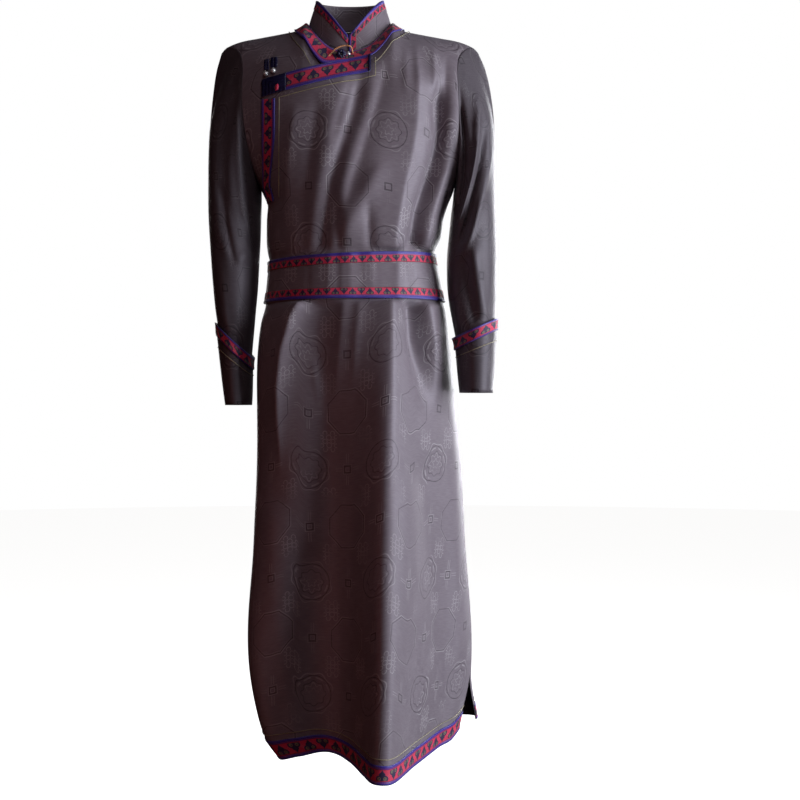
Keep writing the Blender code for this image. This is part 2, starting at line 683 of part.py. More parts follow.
def neck_trim(robe):
    turns = [360.0 * i / 36 for i in range(37)]

    def place(column, row):
        angle = math.radians(turns[column])
        ahead = math.cos(angle) >= 0.0
        deep = NECK_FRONT if ahead else NECK_BACK
        along = NECK_TRIM_FRONT if ahead else NECK_TRIM_BACK
        full = along + (NECK_TRIM_SIDE - along) * abs(math.sin(angle))
        full += NECK_TRIM_CORNER * math.sin(2.0 * angle) ** 4 if ahead else 0.0
        wide = full * (0.08 + 0.92 * (1.0 - row / NECK_TRIM_ROWS))
        x = (NECK_HALF + wide) * math.sin(angle)
        y = -(deep + wide) * math.cos(angle)
        near_front = math.exp(-(((turns[column] + 180.0) % 360.0 - 180.0 - 4.0) / 24.0) ** 2)
        return over_yoke(x, y, NECK_TRIM_LIFT + OVERLAP * near_front)

    sheet("neck_trim", "ribbon", robe, place, len(turns) - 1, NECK_TRIM_ROWS, RIBBON, closed=True)


def on_front(x, z, lift):
    """A point over the outer front, seen from the front at x and z."""
    turn = turn_at(x, CHEST)
    for _ in range(4):
        level = level_at_height(turn, z)
        turn = turn_at(x, level)
    return body(turn, level, lift)


def bands(robe):
    over = OVERLAP + SEAM + RIBBON + BAND_ROOM
    columns = 20
    xs = [CORNER_END + (BREAST_BAND_END - CORNER_END) * i / columns for i in range(columns + 1)]

    def place(column, row):
        x = xs[column]
        return on_front(x, breast_line(x) - TRIM * (1 - row / 2) - BAND_INSET, over)

    sheet("chest_band", "ribbon", robe, place, columns, 2, RIBBON)
    corner_xs = [OVERLAP_EDGE + (CORNER_END - SEAM - OVERLAP_EDGE) * i / 5 for i in range(6)]

    def place_corner(column, row):
        x = corner_xs[column]
        puff = CORNER_PUFF * math.sin(math.pi * column / 5) * math.sin(math.pi * row / 4)
        return on_front(x, breast_line(x) - TRIM * (1 - row / 4) - BAND_INSET, over + CORNER_LIFT + puff)

    sheet("corner_knot", "binding", robe, place_corner, 5, 4, RIBBON + CORNER_LIFT)
    levels = [SIDE_BAND_FOOT, *ARMHOLE_LEVELS, CHEST, SIDE_BAND_HEAD]

    def place_side(column, row):
        level = levels[row]
        edge = outer_turn(-90.0, level)
        inner = turn_at(plain_body(edge, level).x + SIDE_BAND, level)
        return body(edge + (inner - edge) * column / 4, level, over)

    sheet("side_band", "ribbon", robe, place_side, 4, len(levels) - 1, RIBBON)


def belt_lift(step, count):
    """The belt's own end lies over its start at the back, where the last columns repeat the first."""
    over_start = count - len(NECK_TURNS)
    return (BELT_WALL + RIBBON + 3 * SEAM) * smooth_step((step - over_start + 3) / 3)


def belt(robe):
    middle = [turn for turn in BACK_TURNS if turn > 180.0 - NECK_TURN - 1.0]
    turns = [turn - 360.0 for turn in middle[:-1]] + FRONT_TURNS[:-1]
    turns += [turn for turn in BACK_TURNS if turn < 180.0 + NECK_TURN + 1.0]

    def ring(step, level, lift):
        turn = turns[step]
        turn = turn + 360.0 if turn < -90.0 else turn
        point = plain_body(turn, level)
        return point + outward(turn, level) * (overlap_lift(turn) + belt_lift(step, len(turns)) + lift)

    def place(column, row):
        return ring(column, BELT_LEVELS[row], BELT_WALL + SEAM)

    sheet("belt", "damask", robe, place, len(turns) - 1, 3, BELT_WALL)
    for word, first in (("foot", 0), ("top", 2)):
        def place_trim(column, row, first=first):
            return ring(column, BELT_LEVELS[first + row], BELT_WALL + 2 * SEAM + RIBBON)

        sheet("belt_trim_" + word, "ribbon", robe, place_trim, len(turns) - 1, 1, RIBBON)


def hem_trims(robe):
    def place_front(column, row):
        turn = FRONT_TURNS[column]
        return body(turn, SKIRT_LEVELS[row], overlap_lift(turn) + SEAM + RIBBON)

    def place_back(column, row):
        return body(BACK_TURNS[column], SKIRT_LEVELS[row], SEAM + RIBBON)

    sheet("hem_trim_front", "ribbon", robe, place_front, len(FRONT_TURNS) - 1, 1, RIBBON)
    sheet("hem_trim_back", "ribbon", robe, place_back, len(BACK_TURNS) - 1, 1, RIBBON)


def ball(name, material, robe, centre, radii):
    bpy.ops.mesh.primitive_uv_sphere_add(segments=14, ring_count=8, radius=1.0)
    piece = bpy.context.object
    for vertex in piece.data.vertices:
        vertex.co = Vector([at * radius for at, radius in zip(vertex.co, radii)]) + centre
    piece.data.shade_smooth()
    return keep(piece, name, material, robe)


def closures(robe):
    """The two ball buttons at the breast corner, each with its tab."""
    for number, tab in enumerate(TABS, start=1):
        def place_tab(column, row, tab=tab):
            puff = TAB_PUFF * math.sin(math.pi * column / 4)
            x = tab.x + tab.half * (column / 2 - 1)
            return on_front(x, tab.foot + (tab.head - tab.foot) * row / 3, TAB_LIFT + puff)

        sheet(f"corner_tab_{number}", "binding", robe, place_tab, 4, 3, TAB_WALL)
        seat = on_front(tab.x, tab.ball_z, BALL - INNER_DROP / 2)
        ball(f"corner_ball_{number}", "silver", robe, seat, (BALL, BALL, BALL))


def neck_closure(robe):
    """The knot and bead that close the collar, with their cord loop."""
    def over_trim(x, z, lift):
        return on_front(x, z, lift + SEAM + NECK_TRIM_LIFT + OVERLAP)

    ball("neck_knot", "binding", robe, over_trim(-0.0125, -0.0560, 0.0061), KNOT)
    ball("neck_bead", "silver", robe, over_trim(0.0015, -0.0530, 0.0036), BEAD)
    route = [over_trim(-0.0330, -0.0560, 0.0007), over_trim(-0.0290, -0.0520, 0.0032)]
    route += [Vector((x, LOOP_Y, z)) for x, z in LOOP_BOW]
    route += [over_trim(0.0085, -0.0500, 0.0045), over_trim(0.0090, -0.0545, 0.0007)]
    curve = bpy.data.curves.new("neck_loop", "CURVE")
    curve.dimensions = "3D"
    curve.bevel_depth = CORD
    curve.bevel_resolution = 2
    curve.use_fill_caps = True
    line = curve.splines.new("POLY")
    fine = smooth_line(route, 3)
    line.points.add(len(fine) - 1)
    for spot, point in zip(line.points, fine):
        spot.co = (*point, 1.0)
    keep(bpy.data.objects.new("neck_loop", curve), "neck_loop", "gold_cord", robe)


def smooth_line(points, parts):
    """Points on a smooth curve through the given ones."""
    whole = [points[0] * 2 - points[1], *points, points[-1] * 2 - points[-2]]
    fine = []
    for a, b, c, d in zip(whole, whole[1:], whole[2:], whole[3:]):
        for k in range(parts):
            t = k / parts
            bend, turn = 2 * a - 5 * b + 4 * c - d, 3 * b - a - 3 * c + d
            fine.append(0.5 * (2 * b + (c - a) * t + bend * t**2 + turn * t**3))
    return fine + [points[-1].copy()]


def main():
    robe = clear_scene()
    outer_front(robe)
    inner_front(robe)
    back(robe)
    sleeves(robe)
    collar(robe)
    neck_trim(robe)
    bands(robe)
    belt(robe)
    hem_trims(robe)
    closures(robe)
    neck_closure(robe)


main()
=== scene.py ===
"""A Mongolian deel in silk damask with ribbon trims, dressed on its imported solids.

Metres, +Z up. The front faces -Y and the wearer's left is at +X. Cloth is made as the maker lays it: each
panel is a grid moved onto the wearer's form, with a wall inwards, and what is sewn on a panel follows the
same form a little further out.
"""

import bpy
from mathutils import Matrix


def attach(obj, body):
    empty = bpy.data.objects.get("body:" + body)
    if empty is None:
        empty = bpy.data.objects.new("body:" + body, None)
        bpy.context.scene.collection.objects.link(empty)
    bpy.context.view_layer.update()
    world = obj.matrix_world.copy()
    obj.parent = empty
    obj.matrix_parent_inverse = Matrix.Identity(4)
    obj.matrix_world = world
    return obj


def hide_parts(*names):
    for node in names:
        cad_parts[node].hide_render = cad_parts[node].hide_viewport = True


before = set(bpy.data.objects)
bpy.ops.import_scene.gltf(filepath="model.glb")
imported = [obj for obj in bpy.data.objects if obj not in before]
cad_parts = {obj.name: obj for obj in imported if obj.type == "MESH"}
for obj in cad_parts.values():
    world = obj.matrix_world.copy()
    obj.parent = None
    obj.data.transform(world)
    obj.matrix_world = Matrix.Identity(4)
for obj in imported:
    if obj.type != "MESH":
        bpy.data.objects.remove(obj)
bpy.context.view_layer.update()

import math
from collections import namedtuple

import bpy
import numpy as np
from mathutils import Vector

# ------------------------------------------------------------------------------------------------
# Studio: a pale floor where the wearer's feet would be, one large soft window on the wearer's left,
# a weak fill from the other side, and a camera at half the robe's height.
FLOOR_LEVEL = -1.47
FLOOR_REACH = 9.0
FLOOR_GLOW = 1.12
PALE = (0.86, 0.855, 0.85, 1.0)


def deselect():
    bpy.ops.object.select_all(action="DESELECT")


deselect()
bpy.ops.mesh.primitive_circle_add(vertices=128, radius=FLOOR_REACH, fill_type="NGON", location=(0, 0, FLOOR_LEVEL))
floor = bpy.context.object
floor.name = "studio_floor"
bpy.ops.object.transform_apply(location=True)
floor_paint = bpy.data.materials.new("pale floor")
floor_paint.use_nodes = True
floor_shader = floor_paint.node_tree.nodes["Principled BSDF"].inputs
for name, value in (
    ("Base Color", PALE), ("Roughness", 0.8), ("Emission Color", PALE), ("Emission Strength", FLOOR_GLOW)
):
    floor_shader[name].default_value = value
floor.data.materials.append(floor_paint)
floor.visible_diffuse = floor.visible_glossy = False


def soft_light(name, place, aim, wide, tall, power, colour, spread=180.0):
    """A soft box turned towards aim. Its size is in metres, its power in watts and its spread in degrees."""
    lamp = bpy.data.lights.new(name, "AREA")
    lamp.shape = "RECTANGLE"
    lamp.size, lamp.size_y = wide, tall
    lamp.energy = power
    lamp.color = colour
    lamp.spread = math.radians(spread)
    holder = bpy.data.objects.new(name, lamp)
    holder.location = place
    holder.rotation_euler = (Vector(aim) - Vector(place)).to_track_quat("-Z", "Y").to_euler()
    bpy.context.scene.collection.objects.link(holder)


soft_light("window", (2.4, -0.80, -0.35), (0.05, 0.0, -0.60), 1.2, 2.4, 110.0, (0.88, 0.95, 1.0))
soft_light("room fill", (0.7, -2.6, 1.7), (0.0, 0.0, -0.10), 1.6, 1.6, 2.0, (1.0, 0.87, 0.90), 55.0)
soft_light("warm floor bounce", (-1.7, -1.7, -1.3), (-0.1, 0.0, -0.98), 1.6, 0.9, 1.7, (1.0, 0.34, 0.28), 90.0)
soft_light("back window", (1.6, 2.6, -0.1), (0.0, 0.0, -0.5), 1.4, 2.0, 26.0, (0.95, 0.97, 1.0), 100.0)
soft_light("back fill", (-0.8, 2.9, -0.1), (0.0, 0.0, -0.5), 1.2, 2.0, 6.0, (1.0, 0.95, 0.94), 100.0)

world = bpy.data.worlds.new("studio")
bpy.context.scene.world = world
world.use_nodes = True
sky = world.node_tree.nodes["Background"].inputs
sky["Color"].default_value = (1.0, 1.0, 1.0, 1.0)
sky["Strength"].default_value = 1.0
world.cycles_visibility.diffuse = world.cycles_visibility.glossy = False
bpy.context.scene.view_settings.view_transform = "Standard"

eye = bpy.data.cameras.new("camera")
eye.lens = 63.5
eye.sensor_width = 36.0
camera = bpy.data.objects.new("camera", eye)
camera.location = (0.085, -2.4, -0.62)
camera.rotation_euler = (math.radians(90.0), 0.0, 0.0)
bpy.context.scene.collection.objects.link(camera)
bpy.context.scene.camera = camera

# ------------------------------------------------------------------------------------------------
# Outer front: the panel that wraps from the wearer's left across to the right underarm, one piece from
# neck to hem. Grey-mauve silk damask woven in one colour, where figures show by their duller weave and by dark
# painted shadow lines beside them.
CLOTH = 0.0015
SEAM = 0.0004
SIDE_SEAM = 0.0006
OVERLAP = CLOTH + 0.0006
HEM = -1.210
SLIT_TOP = -1.093
SLIT_TURNS = 36.0
SLIT_PARTING = np.array((0.018, 0.025, 0.004))
SKIRT_TOP = -0.470
BELT_FOOT = -0.456
BELT_TOP = -0.380
BELT_TILT = 0.0065
BELT_TILT_REACH = 0.06
BELT_GRIP = 0.010
ARMPIT = -0.265
CHEST = -0.130
SHOULDER = -0.030
ARMHOLE_HALF = 0.068
SHOULDER_TIP = 0.218
NECK_HALF = 0.073
NECK_FRONT = 0.0725
NECK_BACK = 0.055
TINY = 0.00001


def rows(kind, *table):
    """A table as named rows."""
    return [kind(*row) for row in table]


Ring = namedtuple("Ring", "level right left front back")
RINGS = rows(
    Ring,
    (-1.210, 0.118, 0.203, 0.125, 0.125),
    (-1.180, 0.141, 0.204, 0.125, 0.125),
    (-1.137, 0.156, 0.206, 0.126, 0.125),
    (-1.066, 0.169, 0.208, 0.127, 0.125),
    (-0.992, 0.171, 0.205, 0.128, 0.125),
    (-0.885, 0.163, 0.197, 0.128, 0.124),
    (-0.823, 0.160, 0.194, 0.128, 0.124),
    (-0.730, 0.156, 0.189, 0.128, 0.123),
    (-0.628, 0.153, 0.179, 0.127, 0.121),
    (-0.560, 0.153, 0.173, 0.126, 0.119),
    (-0.520, 0.151, 0.168, 0.124, 0.117),
    (-0.489, 0.147, 0.165, 0.122, 0.113),
    (-0.470, 0.142, 0.162, 0.118, 0.107),
    (-0.456, 0.1405, 0.1577, 0.114, 0.102),
    (-0.418, 0.136, 0.149, 0.112, 0.100),
    (-0.380, 0.134, 0.142, 0.111, 0.099),
    (-0.366, 0.137, 0.147, 0.117, 0.103),
    (-0.349, 0.139, 0.154, 0.121, 0.105),
    (-0.317, 0.139, 0.158, 0.124, 0.106),
    (-0.290, 0.1395, 0.166, 0.125, 0.107),
    (-0.265, 0.150, 0.176, 0.124, 0.108),
    (-0.248, 0.156, 0.179, 0.123, 0.108),
    (-0.200, 0.168, 0.182, 0.120, 0.108),
    (-0.130, 0.176, 0.182, 0.113, 0.105),
    (-0.087, 0.177, 0.181, 0.113, 0.105),
    (-0.063, 0.190, 0.195, 0.113, 0.105),
    (-0.030, 0.218, 0.218, 0.113, 0.105),
)
Shoulder = namedtuple("Shoulder", "across height")
SHOULDERS = rows(
    Shoulder,
    (0.073, 0.0150),
    (0.082, 0.0090),
    (0.092, 0.0040),
    (0.109, 0.0005),
    (0.151, -0.0070),
    (0.184, -0.0130),
    (0.207, -0.0220),
    (0.218, -0.0310),
)
Crown = namedtuple("Crown", "across front back")
CROWNS = rows(
    Crown,
    (0.000, -0.0260, 0.0460),
    (0.030, -0.0166, 0.0400),
    (0.055, 0.0000, 0.0270),
    (0.073, 0.0150, 0.0150),
)
Hem = namedtuple("Hem", "turn x y z")
HEMS = rows(
    Hem,
    (-90.0, -0.118, 0.015, -1.205),
    (-65.0, -0.112, -0.056, -1.214),
    (-40.0, -0.078, -0.066, -1.208),
    (-15.0, -0.036, -0.062, -1.203),
    (0.0, 0.000, -0.094, -1.211),
    (12.0, 0.030, -0.142, -1.221),
    (24.8, 0.058, -0.170, -1.227),
    (45.0, 0.106, -0.088, -1.218),
    (65.0, 0.153, -0.002, -1.2075),
    (78.0, 0.184, 0.033, -1.199),
    (90.0, 0.203, 0.073, -1.188),
    (101.0, 0.206, 0.100, -1.185),
    (116.0, 0.186, 0.126, -1.184),
    (140.0, 0.124, 0.144, -1.183),
    (180.0, 0.000, 0.140, -1.183),
    (215.0, -0.072, 0.115, -1.190),
    (245.0, -0.110, 0.068, -1.197),
    (270.0, -0.118, 0.015, -1.205),
)
# Folds and creases, each a line from top to bottom as seen from the front, with its width towards the
# wearer's right and left and its height. A trough's height is negative. A keen fold comes to an edge.
Fold = namedtuple("Fold", "path right left height keen")
FRONT_FOLDS = rows(
    Fold,
    (((0.020, -0.100), (0.009, -0.150), (-0.008, -0.205), (-0.026, -0.262), (-0.036, -0.310), (-0.046, -0.390)),
     0.012, 0.017, -0.0105, 0.35),
    (((0.062, -0.080), (0.048, -0.140), (0.028, -0.205), (0.010, -0.262), (0.000, -0.300)),
     0.010, 0.022, -0.0055, 0.45),
    (((0.052, -0.240), (0.024, -0.295), (0.000, -0.345)), 0.018, 0.020, 0.0055, 0.2),
    (((0.113, -0.085), (0.110, -0.168), (0.103, -0.215), (0.090, -0.270), (0.077, -0.345), (0.073, -0.395)),
     0.030, 0.020, 0.0095, 0.80),
    (((0.151, -0.110), (0.154, -0.172), (0.149, -0.220), (0.1390, -0.252), (0.1195, -0.314), (0.1115, -0.361),
      (0.1080, -0.395)), 0.014, 0.0095, -0.0190, 0.1),
    (((0.161, -0.225), (0.1500, -0.252), (0.1315, -0.314), (0.1220, -0.361), (0.1180, -0.395)),
     0.0085, 0.018, 0.0110, 0.4),
    (((-0.050, -0.140), (-0.062, -0.225), (-0.071, -0.300), (-0.074, -0.390)), 0.014, 0.016, -0.0045, 0.3),
    (((-0.086, -0.150), (-0.097, -0.230), (-0.100, -0.320)), 0.012, 0.010, 0.0030, 0.2),
    (((0.002, -0.108), (-0.014, -0.158), (-0.022, -0.190)), 0.006, 0.009, -0.0032, 0.5),
    (((-0.018, -0.300), (-0.014, -0.392)), 0.008, 0.010, -0.0036, 0.3),
    (((0.034, -0.305), (0.038, -0.392)), 0.009, 0.008, -0.0040, 0.4),
    (((0.094, -0.052), (0.094, -0.110)), 0.005, 0.007, 0.0020, 0.4),
    (((0.112, -0.046), (0.114, -0.112)), 0.005, 0.006, 0.0026, 0.6),
    (((0.140, -0.046), (0.142, -0.124)), 0.006, 0.006, 0.0034, 0.6),
    (((0.161, -0.066), (0.164, -0.150)), 0.009, 0.008, -0.0046, 0.3),
    (((0.0664, -0.440), (0.0655, -0.560), (0.0640, -0.700), (0.0615, -0.900), (0.0600, -1.100), (0.0590, -1.260),
      (0.0590, -1.960)), 0.056, 0.036, 0.0150, 0.90),
    (((0.0664, -0.440), (0.0655, -0.560), (0.0640, -0.700), (0.0620, -0.860)), 0.034, 0.026, 0.0105, 0.90),
    (((0.100, -0.440), (0.108, -0.520), (0.118, -0.572), (0.126, -0.640)), 0.015, 0.018, -0.0235, 0.1),
    (((0.122, -0.440), (0.136, -0.520), (0.141, -0.580), (0.144, -0.640)), 0.009, 0.018, 0.0110, 0.4),
    (((-0.064, -0.452), (-0.083, -0.488), (-0.097, -0.540), (-0.104, -0.600), (-0.108, -0.660), (-0.110, -0.740)),
     0.032, 0.0115, 0.0235, 0.95),
    (((-0.046, -0.440), (-0.046, -0.520), (-0.040, -0.590), (-0.032, -0.680), (-0.024, -0.820), (-0.016, -1.000),
      (-0.012, -1.260), (-0.012, -1.960)), 0.030, 0.058, -0.0100, 0.2),
    (((-0.006, -0.450), (-0.013, -0.530), (-0.024, -0.640)), 0.010, 0.012, 0.0034, 0.4),
    (((0.020, -0.450), (0.014, -0.520), (0.010, -0.610)), 0.009, 0.010, 0.0030, 0.5),
    (((-0.057, -0.560), (-0.048, -0.630)), 0.005, 0.006, 0.0020, 0.5),
    (((0.124, -0.720), (0.137, -0.845), (0.146, -0.945), (0.156, -1.080), (0.164, -1.200)),
     0.020, 0.028, -0.0060, 0.2),
    (((0.092, -0.760), (0.096, -0.900), (0.098, -1.060)), 0.020, 0.024, 0.0030, 0.0),
    (((-0.120, -0.800), (-0.116, -0.960), (-0.108, -1.140)), 0.024, 0.030, 0.0050, 0.1),
    (((-0.062, -0.860), (-0.060, -1.000), (-0.054, -1.180)), 0.026, 0.030, -0.0050, 0.1),
)
BACK_FOLDS = rows(
    Fold,
    (((-0.110, -0.120), (-0.092, -0.230), (-0.070, -0.390)), 0.016, 0.018, -0.0075, 0.3),
    (((-0.046, -0.210), (-0.040, -0.300), (-0.034, -0.390)), 0.012, 0.013, -0.0060, 0.35),
    (((0.004, -0.190), (0.000, -0.290), (-0.004, -0.390)), 0.018, 0.017, 0.0065, 0.3),
    (((0.070, -0.140), (0.052, -0.250), (0.040, -0.390)), 0.014, 0.013, -0.0065, 0.3),
    (((0.124, -0.150), (0.106, -0.270), (0.092, -0.390)), 0.015, 0.017, -0.0080, 0.35),
    (((-0.070, -0.330), (-0.062, -0.390)), 0.007, 0.008, 0.0030, 0.4),
    (((0.020, -0.320), (0.017, -0.390)), 0.006, 0.007, -0.0030, 0.4),
    (((0.140, -0.060), (0.134, -0.170)), 0.009, 0.010, 0.0034, 0.3),
    (((-0.146, -0.070), (-0.140, -0.190)), 0.010, 0.009, -0.0036, 0.3),
    (((-0.090, -0.445), (-0.102, -0.600), (-0.104, -0.860)), 0.018, 0.016, 0.0090, 0.5),
    (((-0.050, -0.445), (-0.058, -0.620), (-0.060, -0.940)), 0.016, 0.018, -0.0100, 0.4),
    (((-0.004, -0.445), (0.002, -0.640), (0.006, -1.000)), 0.019, 0.020, 0.0110, 0.5),
    (((0.048, -0.445), (0.058, -0.600), (0.070, -0.880)), 0.016, 0.018, -0.0095, 0.4),
    (((0.090, -0.445), (0.106, -0.580), (0.116, -0.820)), 0.018, 0.016, 0.0085, 0.5),
    (((-0.128, -0.450), (-0.136, -0.560), (-0.138, -0.720)), 0.011, 0.012, -0.0050, 0.3),
    (((0.024, -0.450), (0.026, -0.560)), 0.008, 0.007, -0.0034, 0.4),
)
FOLD_FADE = 0.050
LONG_FADE = 0.50


def along(table, column, at):
    """A table's column between its rows, on a smooth curve. The first column is the key."""
    keys = np.array([row[0] for row in table])
    values = np.array([getattr(row, column) for row in table])
    slope = np.diff(values) / np.diff(keys)
    lean = np.concatenate([slope[:1], (values[2:] - values[:-2]) / (keys[2:] - keys[:-2]), slope[-1:]])
    at = np.clip(at, keys[0], keys[-1])
    i = np.clip(np.searchsorted(keys, at, side="right") - 1, 0, len(keys) - 2)
    step = keys[i + 1] - keys[i]
    t = (at - keys[i]) / step
    near = (2 * t**3 - 3 * t**2 + 1) * values[i] + (t**3 - 2 * t**2 + t) * lean[i] * step
    return near + (3 * t**2 - 2 * t**3) * values[i + 1] + (t**3 - t**2) * lean[i + 1] * step


def ease(value):
    """0 to 1 with a soft start and end."""
    value = np.clip(value, 0.0, 1.0)
    return value * value * (3.0 - 2.0 * value)


def fold_height(folds, x, z):
    """How far the folds together stand off at places seen from the front."""
    total = np.zeros(np.broadcast(x, z).shape)
    for fold in folds:
        line = np.array(fold.path)
        fade = FOLD_FADE if line[-1, 1] > BELT_FOOT else FOLD_FADE + LONG_FADE * (line[0, 1] - line[-1, 1])
        shown = ease((line[0, 1] + FOLD_FADE / 2 - z) / FOLD_FADE) * ease((z - line[-1, 1] + FOLD_FADE / 2) / fade)
        off = x - np.interp(-z, -line[:, 1], line[:, 0])
        across = np.abs(off) / np.where(off > 0, fold.left, fold.right)
        total += fold.height * shown * np.exp(-across ** (2.0 - fold.keen))
    return total


ARMPIT_EASE = 0.040


def armhole_depth(level):
    """Half the armhole's opening from front to back at a level."""
    below = np.clip(CHEST - level, 0.0, 1.0) / (CHEST - ARMPIT)
    hollow = ARMHOLE_HALF * np.sqrt(np.clip(1.0 - below**2, 0.0, 1.0))
    return np.where(level >= CHEST, ARMHOLE_HALF, hollow)


def half_width(turn, level):
    return np.where(np.sin(np.radians(turn)) > 0, along(RINGS, "left", level), along(RINGS, "right", level))


def plain_form(turn, level):
    """The wearer's form. turn is in degrees: 0 at the centre front, 90 at the left seam, 180 at the back."""
    turn, level = np.broadcast_arrays(np.asarray(turn, float), np.asarray(level, float))
    angle = np.radians(turn)
    ahead = np.cos(angle) >= 0.0
    x = half_width(turn, level) * np.sin(angle)
    reach = ARMPIT_EASE * ease(np.abs(np.cos(angle)) * 2.0)
    hollow = sum(armhole_depth(level + reach * share) for share in np.linspace(-1.0, 1.0, 9)) / 9
    depth = np.where(ahead, along(RINGS, "front", level), along(RINGS, "back", level))
    bulge = np.abs(np.cos(angle)) ** (1.0 + hollow / ARMHOLE_HALF)
    y = np.where(ahead, -1.0, 1.0) * (hollow + (depth - hollow) * bulge)
    aim = np.where(ahead, along(CROWNS, "front", np.abs(x)), along(CROWNS, "back", np.abs(x)))
    aim = np.where(np.abs(x) < NECK_HALF, aim, along(SHOULDERS, "height", np.abs(x)))
    over = math.radians(90.0) * np.clip((level - CHEST) / (SHOULDER - CHEST), 0.0, None)
    z = level + BELT_TILT * np.sin(angle) * np.exp(-(((level - BELT_TOP) / BELT_TILT_REACH) ** 2))
    z = np.where(level > CHEST, CHEST + (aim - CHEST) * np.sin(over), z)
    y = np.where(level > CHEST, y * np.cos(over), y)
    drop = np.clip((SKIRT_TOP - level) / (SKIRT_TOP - HEM), 0.0, None)
    at = np.where(turn > 270.0, turn - 360.0, turn)
    x = x + half_width(turn, level) * (along(HEMS, "x", at) / half_width(turn, HEM) - np.sin(angle)) * drop
    y = y + (along(HEMS, "y", at) - y) * drop
    z = z + (along(HEMS, "z", at) - HEM) * drop
    return np.stack([x, y, z], axis=-1)


LEVEL_STEP = 0.004
TURN_STEP = 0.5


def outward(turn, level):
    """The direction straight out of the form."""
    turn, level = np.broadcast_arrays(np.asarray(turn, float), np.asarray(level, float))
    up = plain_form(turn, np.minimum(level + LEVEL_STEP, SHOULDER))
    up = up - plain_form(turn, np.maximum(level - LEVEL_STEP, HEM))
    side = plain_form(turn + TURN_STEP, level) - plain_form(turn - TURN_STEP, level)
    at_seam = np.abs(np.abs((turn + 90.0) % 180.0 - 90.0) - 90.0) < TURN_STEP
    straight = np.stack([turn * 0, np.where(np.sin(np.radians(turn)) > 0, 1.0, -1.0), turn * 0], axis=-1)
    out = np.cross(np.where(at_seam[..., None], straight, side), up)
    return out / np.linalg.norm(out, axis=-1, keepdims=True)


def robe(turn, level, lift=0.0):
    """A point of the robe's outer face, moved out by lift."""
    turn, level = np.broadcast_arrays(np.asarray(turn, float), np.asarray(level, float))
    point = plain_form(turn, level)
    ahead = (turn >= -90.0) & (turn <= 90.0)
    free = np.clip(ease((level - BELT_TOP) / BELT_GRIP) + ease((BELT_FOOT - level) / BELT_GRIP), 0.0, 1.0)
    x, z = point[..., 0], point[..., 2]
    fold = np.where(ahead, fold_height(FRONT_FOLDS, x, z), fold_height(BACK_FOLDS, x, z)) * free
    fold = fold * ease(np.abs(np.cos(np.radians(turn))) * 3.0)
    point = point + outward(turn, level) * np.asarray(fold + lift)[..., None]
    edge = np.where(ahead, -1.0, 1.0)
    low = ease((SLIT_TOP - point[..., 2]) / (SLIT_TOP - HEM))
    parting = ease(1.0 - np.abs(turn - 90.0) / SLIT_TURNS) * low * edge
    point = point + SLIT_PARTING * parting[..., None]
    point[..., 1] += edge * SIDE_SEAM / 2
    return point


def bisect(holds, shape, low, high, rounds):
    """The last place from low towards high where holds is true, for each place of an array."""
    low, high = np.full(shape, low), np.full(shape, high)
    for _ in range(rounds):
        middle = (low + high) / 2
        held = holds(middle)
        low, high = np.where(held, middle, low), np.where(held, high, middle)
    return low


def neck_level(turn):
    """The level where a column meets the neck opening, or the shoulder seam outside it."""
    turn = np.asarray(turn, float)
    deep = np.where(np.cos(np.radians(turn)) > 0, NECK_FRONT, NECK_BACK)

    def on_cloth(level):
        point = plain_form(turn, level)
        return (point[..., 0] / NECK_HALF) ** 2 + (point[..., 1] / deep) ** 2 >= 1.0

    level = bisect(on_cloth, turn.shape, CHEST, SHOULDER, 30)
    return np.where(level < SHOULDER - TINY, level, SHOULDER)


def level_at_height(turn, z):
    """The level of a column where it is at height z, between the belt and the shoulder."""
    turn, z = np.broadcast_arrays(np.asarray(turn, float), np.asarray(z, float))
    return bisect(lambda level: plain_form(turn, level)[..., 2] < z, turn.shape, BELT_TOP, SHOULDER, 24)


def turn_at(x, level):
    """The turn of the front's column at x on a level."""
    side = np.where(np.asarray(x) < 0, -90.0, 90.0)
    return np.degrees(np.arcsin(np.clip(x / half_width(side, level), -1.0, 1.0)))


BREAST_LINE_AT_CENTRE = -0.0645
BREAST_LINE_SLOPE = 0.213
OVERLAP_EDGE = -0.1405
EDGE_FOOT = -0.345
DRAWN_FROM = -35.0
LIFT_ENDS_FROM = -2.0
LIFT_ENDS_OVER = 10.0


def breast_line(x):
    """The height of the slanted breast line at x."""
    return BREAST_LINE_AT_CENTRE + BREAST_LINE_SLOPE * x


def overlap_lift(turn):
    """How far the outer front stands off, where it covers the inner one."""
    at = np.where(np.asarray(turn) > 180.0, np.asarray(turn) - 360.0, turn)
    return np.where((at > 90.0) | (at < -95.0), 0.0, OVERLAP * (1.0 - ease((at - LIFT_ENDS_FROM) / LIFT_ENDS_OVER)))


def outer_turn(turn, level):
    """The outer front's columns, drawn in at its breast edge."""
    drawn = turn_at(OVERLAP_EDGE, np.maximum(level, ARMPIT))
    drawn = -90.0 + (drawn + 90.0) * ease((level - EDGE_FOOT) / (ARMPIT - EDGE_FOOT))
    moved = DRAWN_FROM + (turn - DRAWN_FROM) * (drawn - DRAWN_FROM) / (-90.0 - DRAWN_FROM)
    return np.where(turn < DRAWN_FROM, moved, turn)


def steps(*stretches):
    """Places along a row of stretches, each (start, end, how many cells)."""
    places = [np.linspace(start, end, cells, endpoint=False) for start, end, cells in stretches]
    return np.concatenate([*places, [stretches[-1][1]]])


LOW_LEVELS = steps(
    (HEM, HEM + 0.030, 6), (HEM + 0.030, -0.535, 90), (-0.535, BELT_FOOT, 16), (BELT_FOOT, BELT_TOP, 10),
    (BELT_TOP, -0.345, 10), (-0.345, ARMPIT, 14), (ARMPIT, ARMPIT + 0.02, 8), (ARMPIT + 0.02, CHEST, 20),
)
YOKE = 1.0 - (1.0 - np.linspace(0.0, 1.0, 25)[1:]) ** 1.3


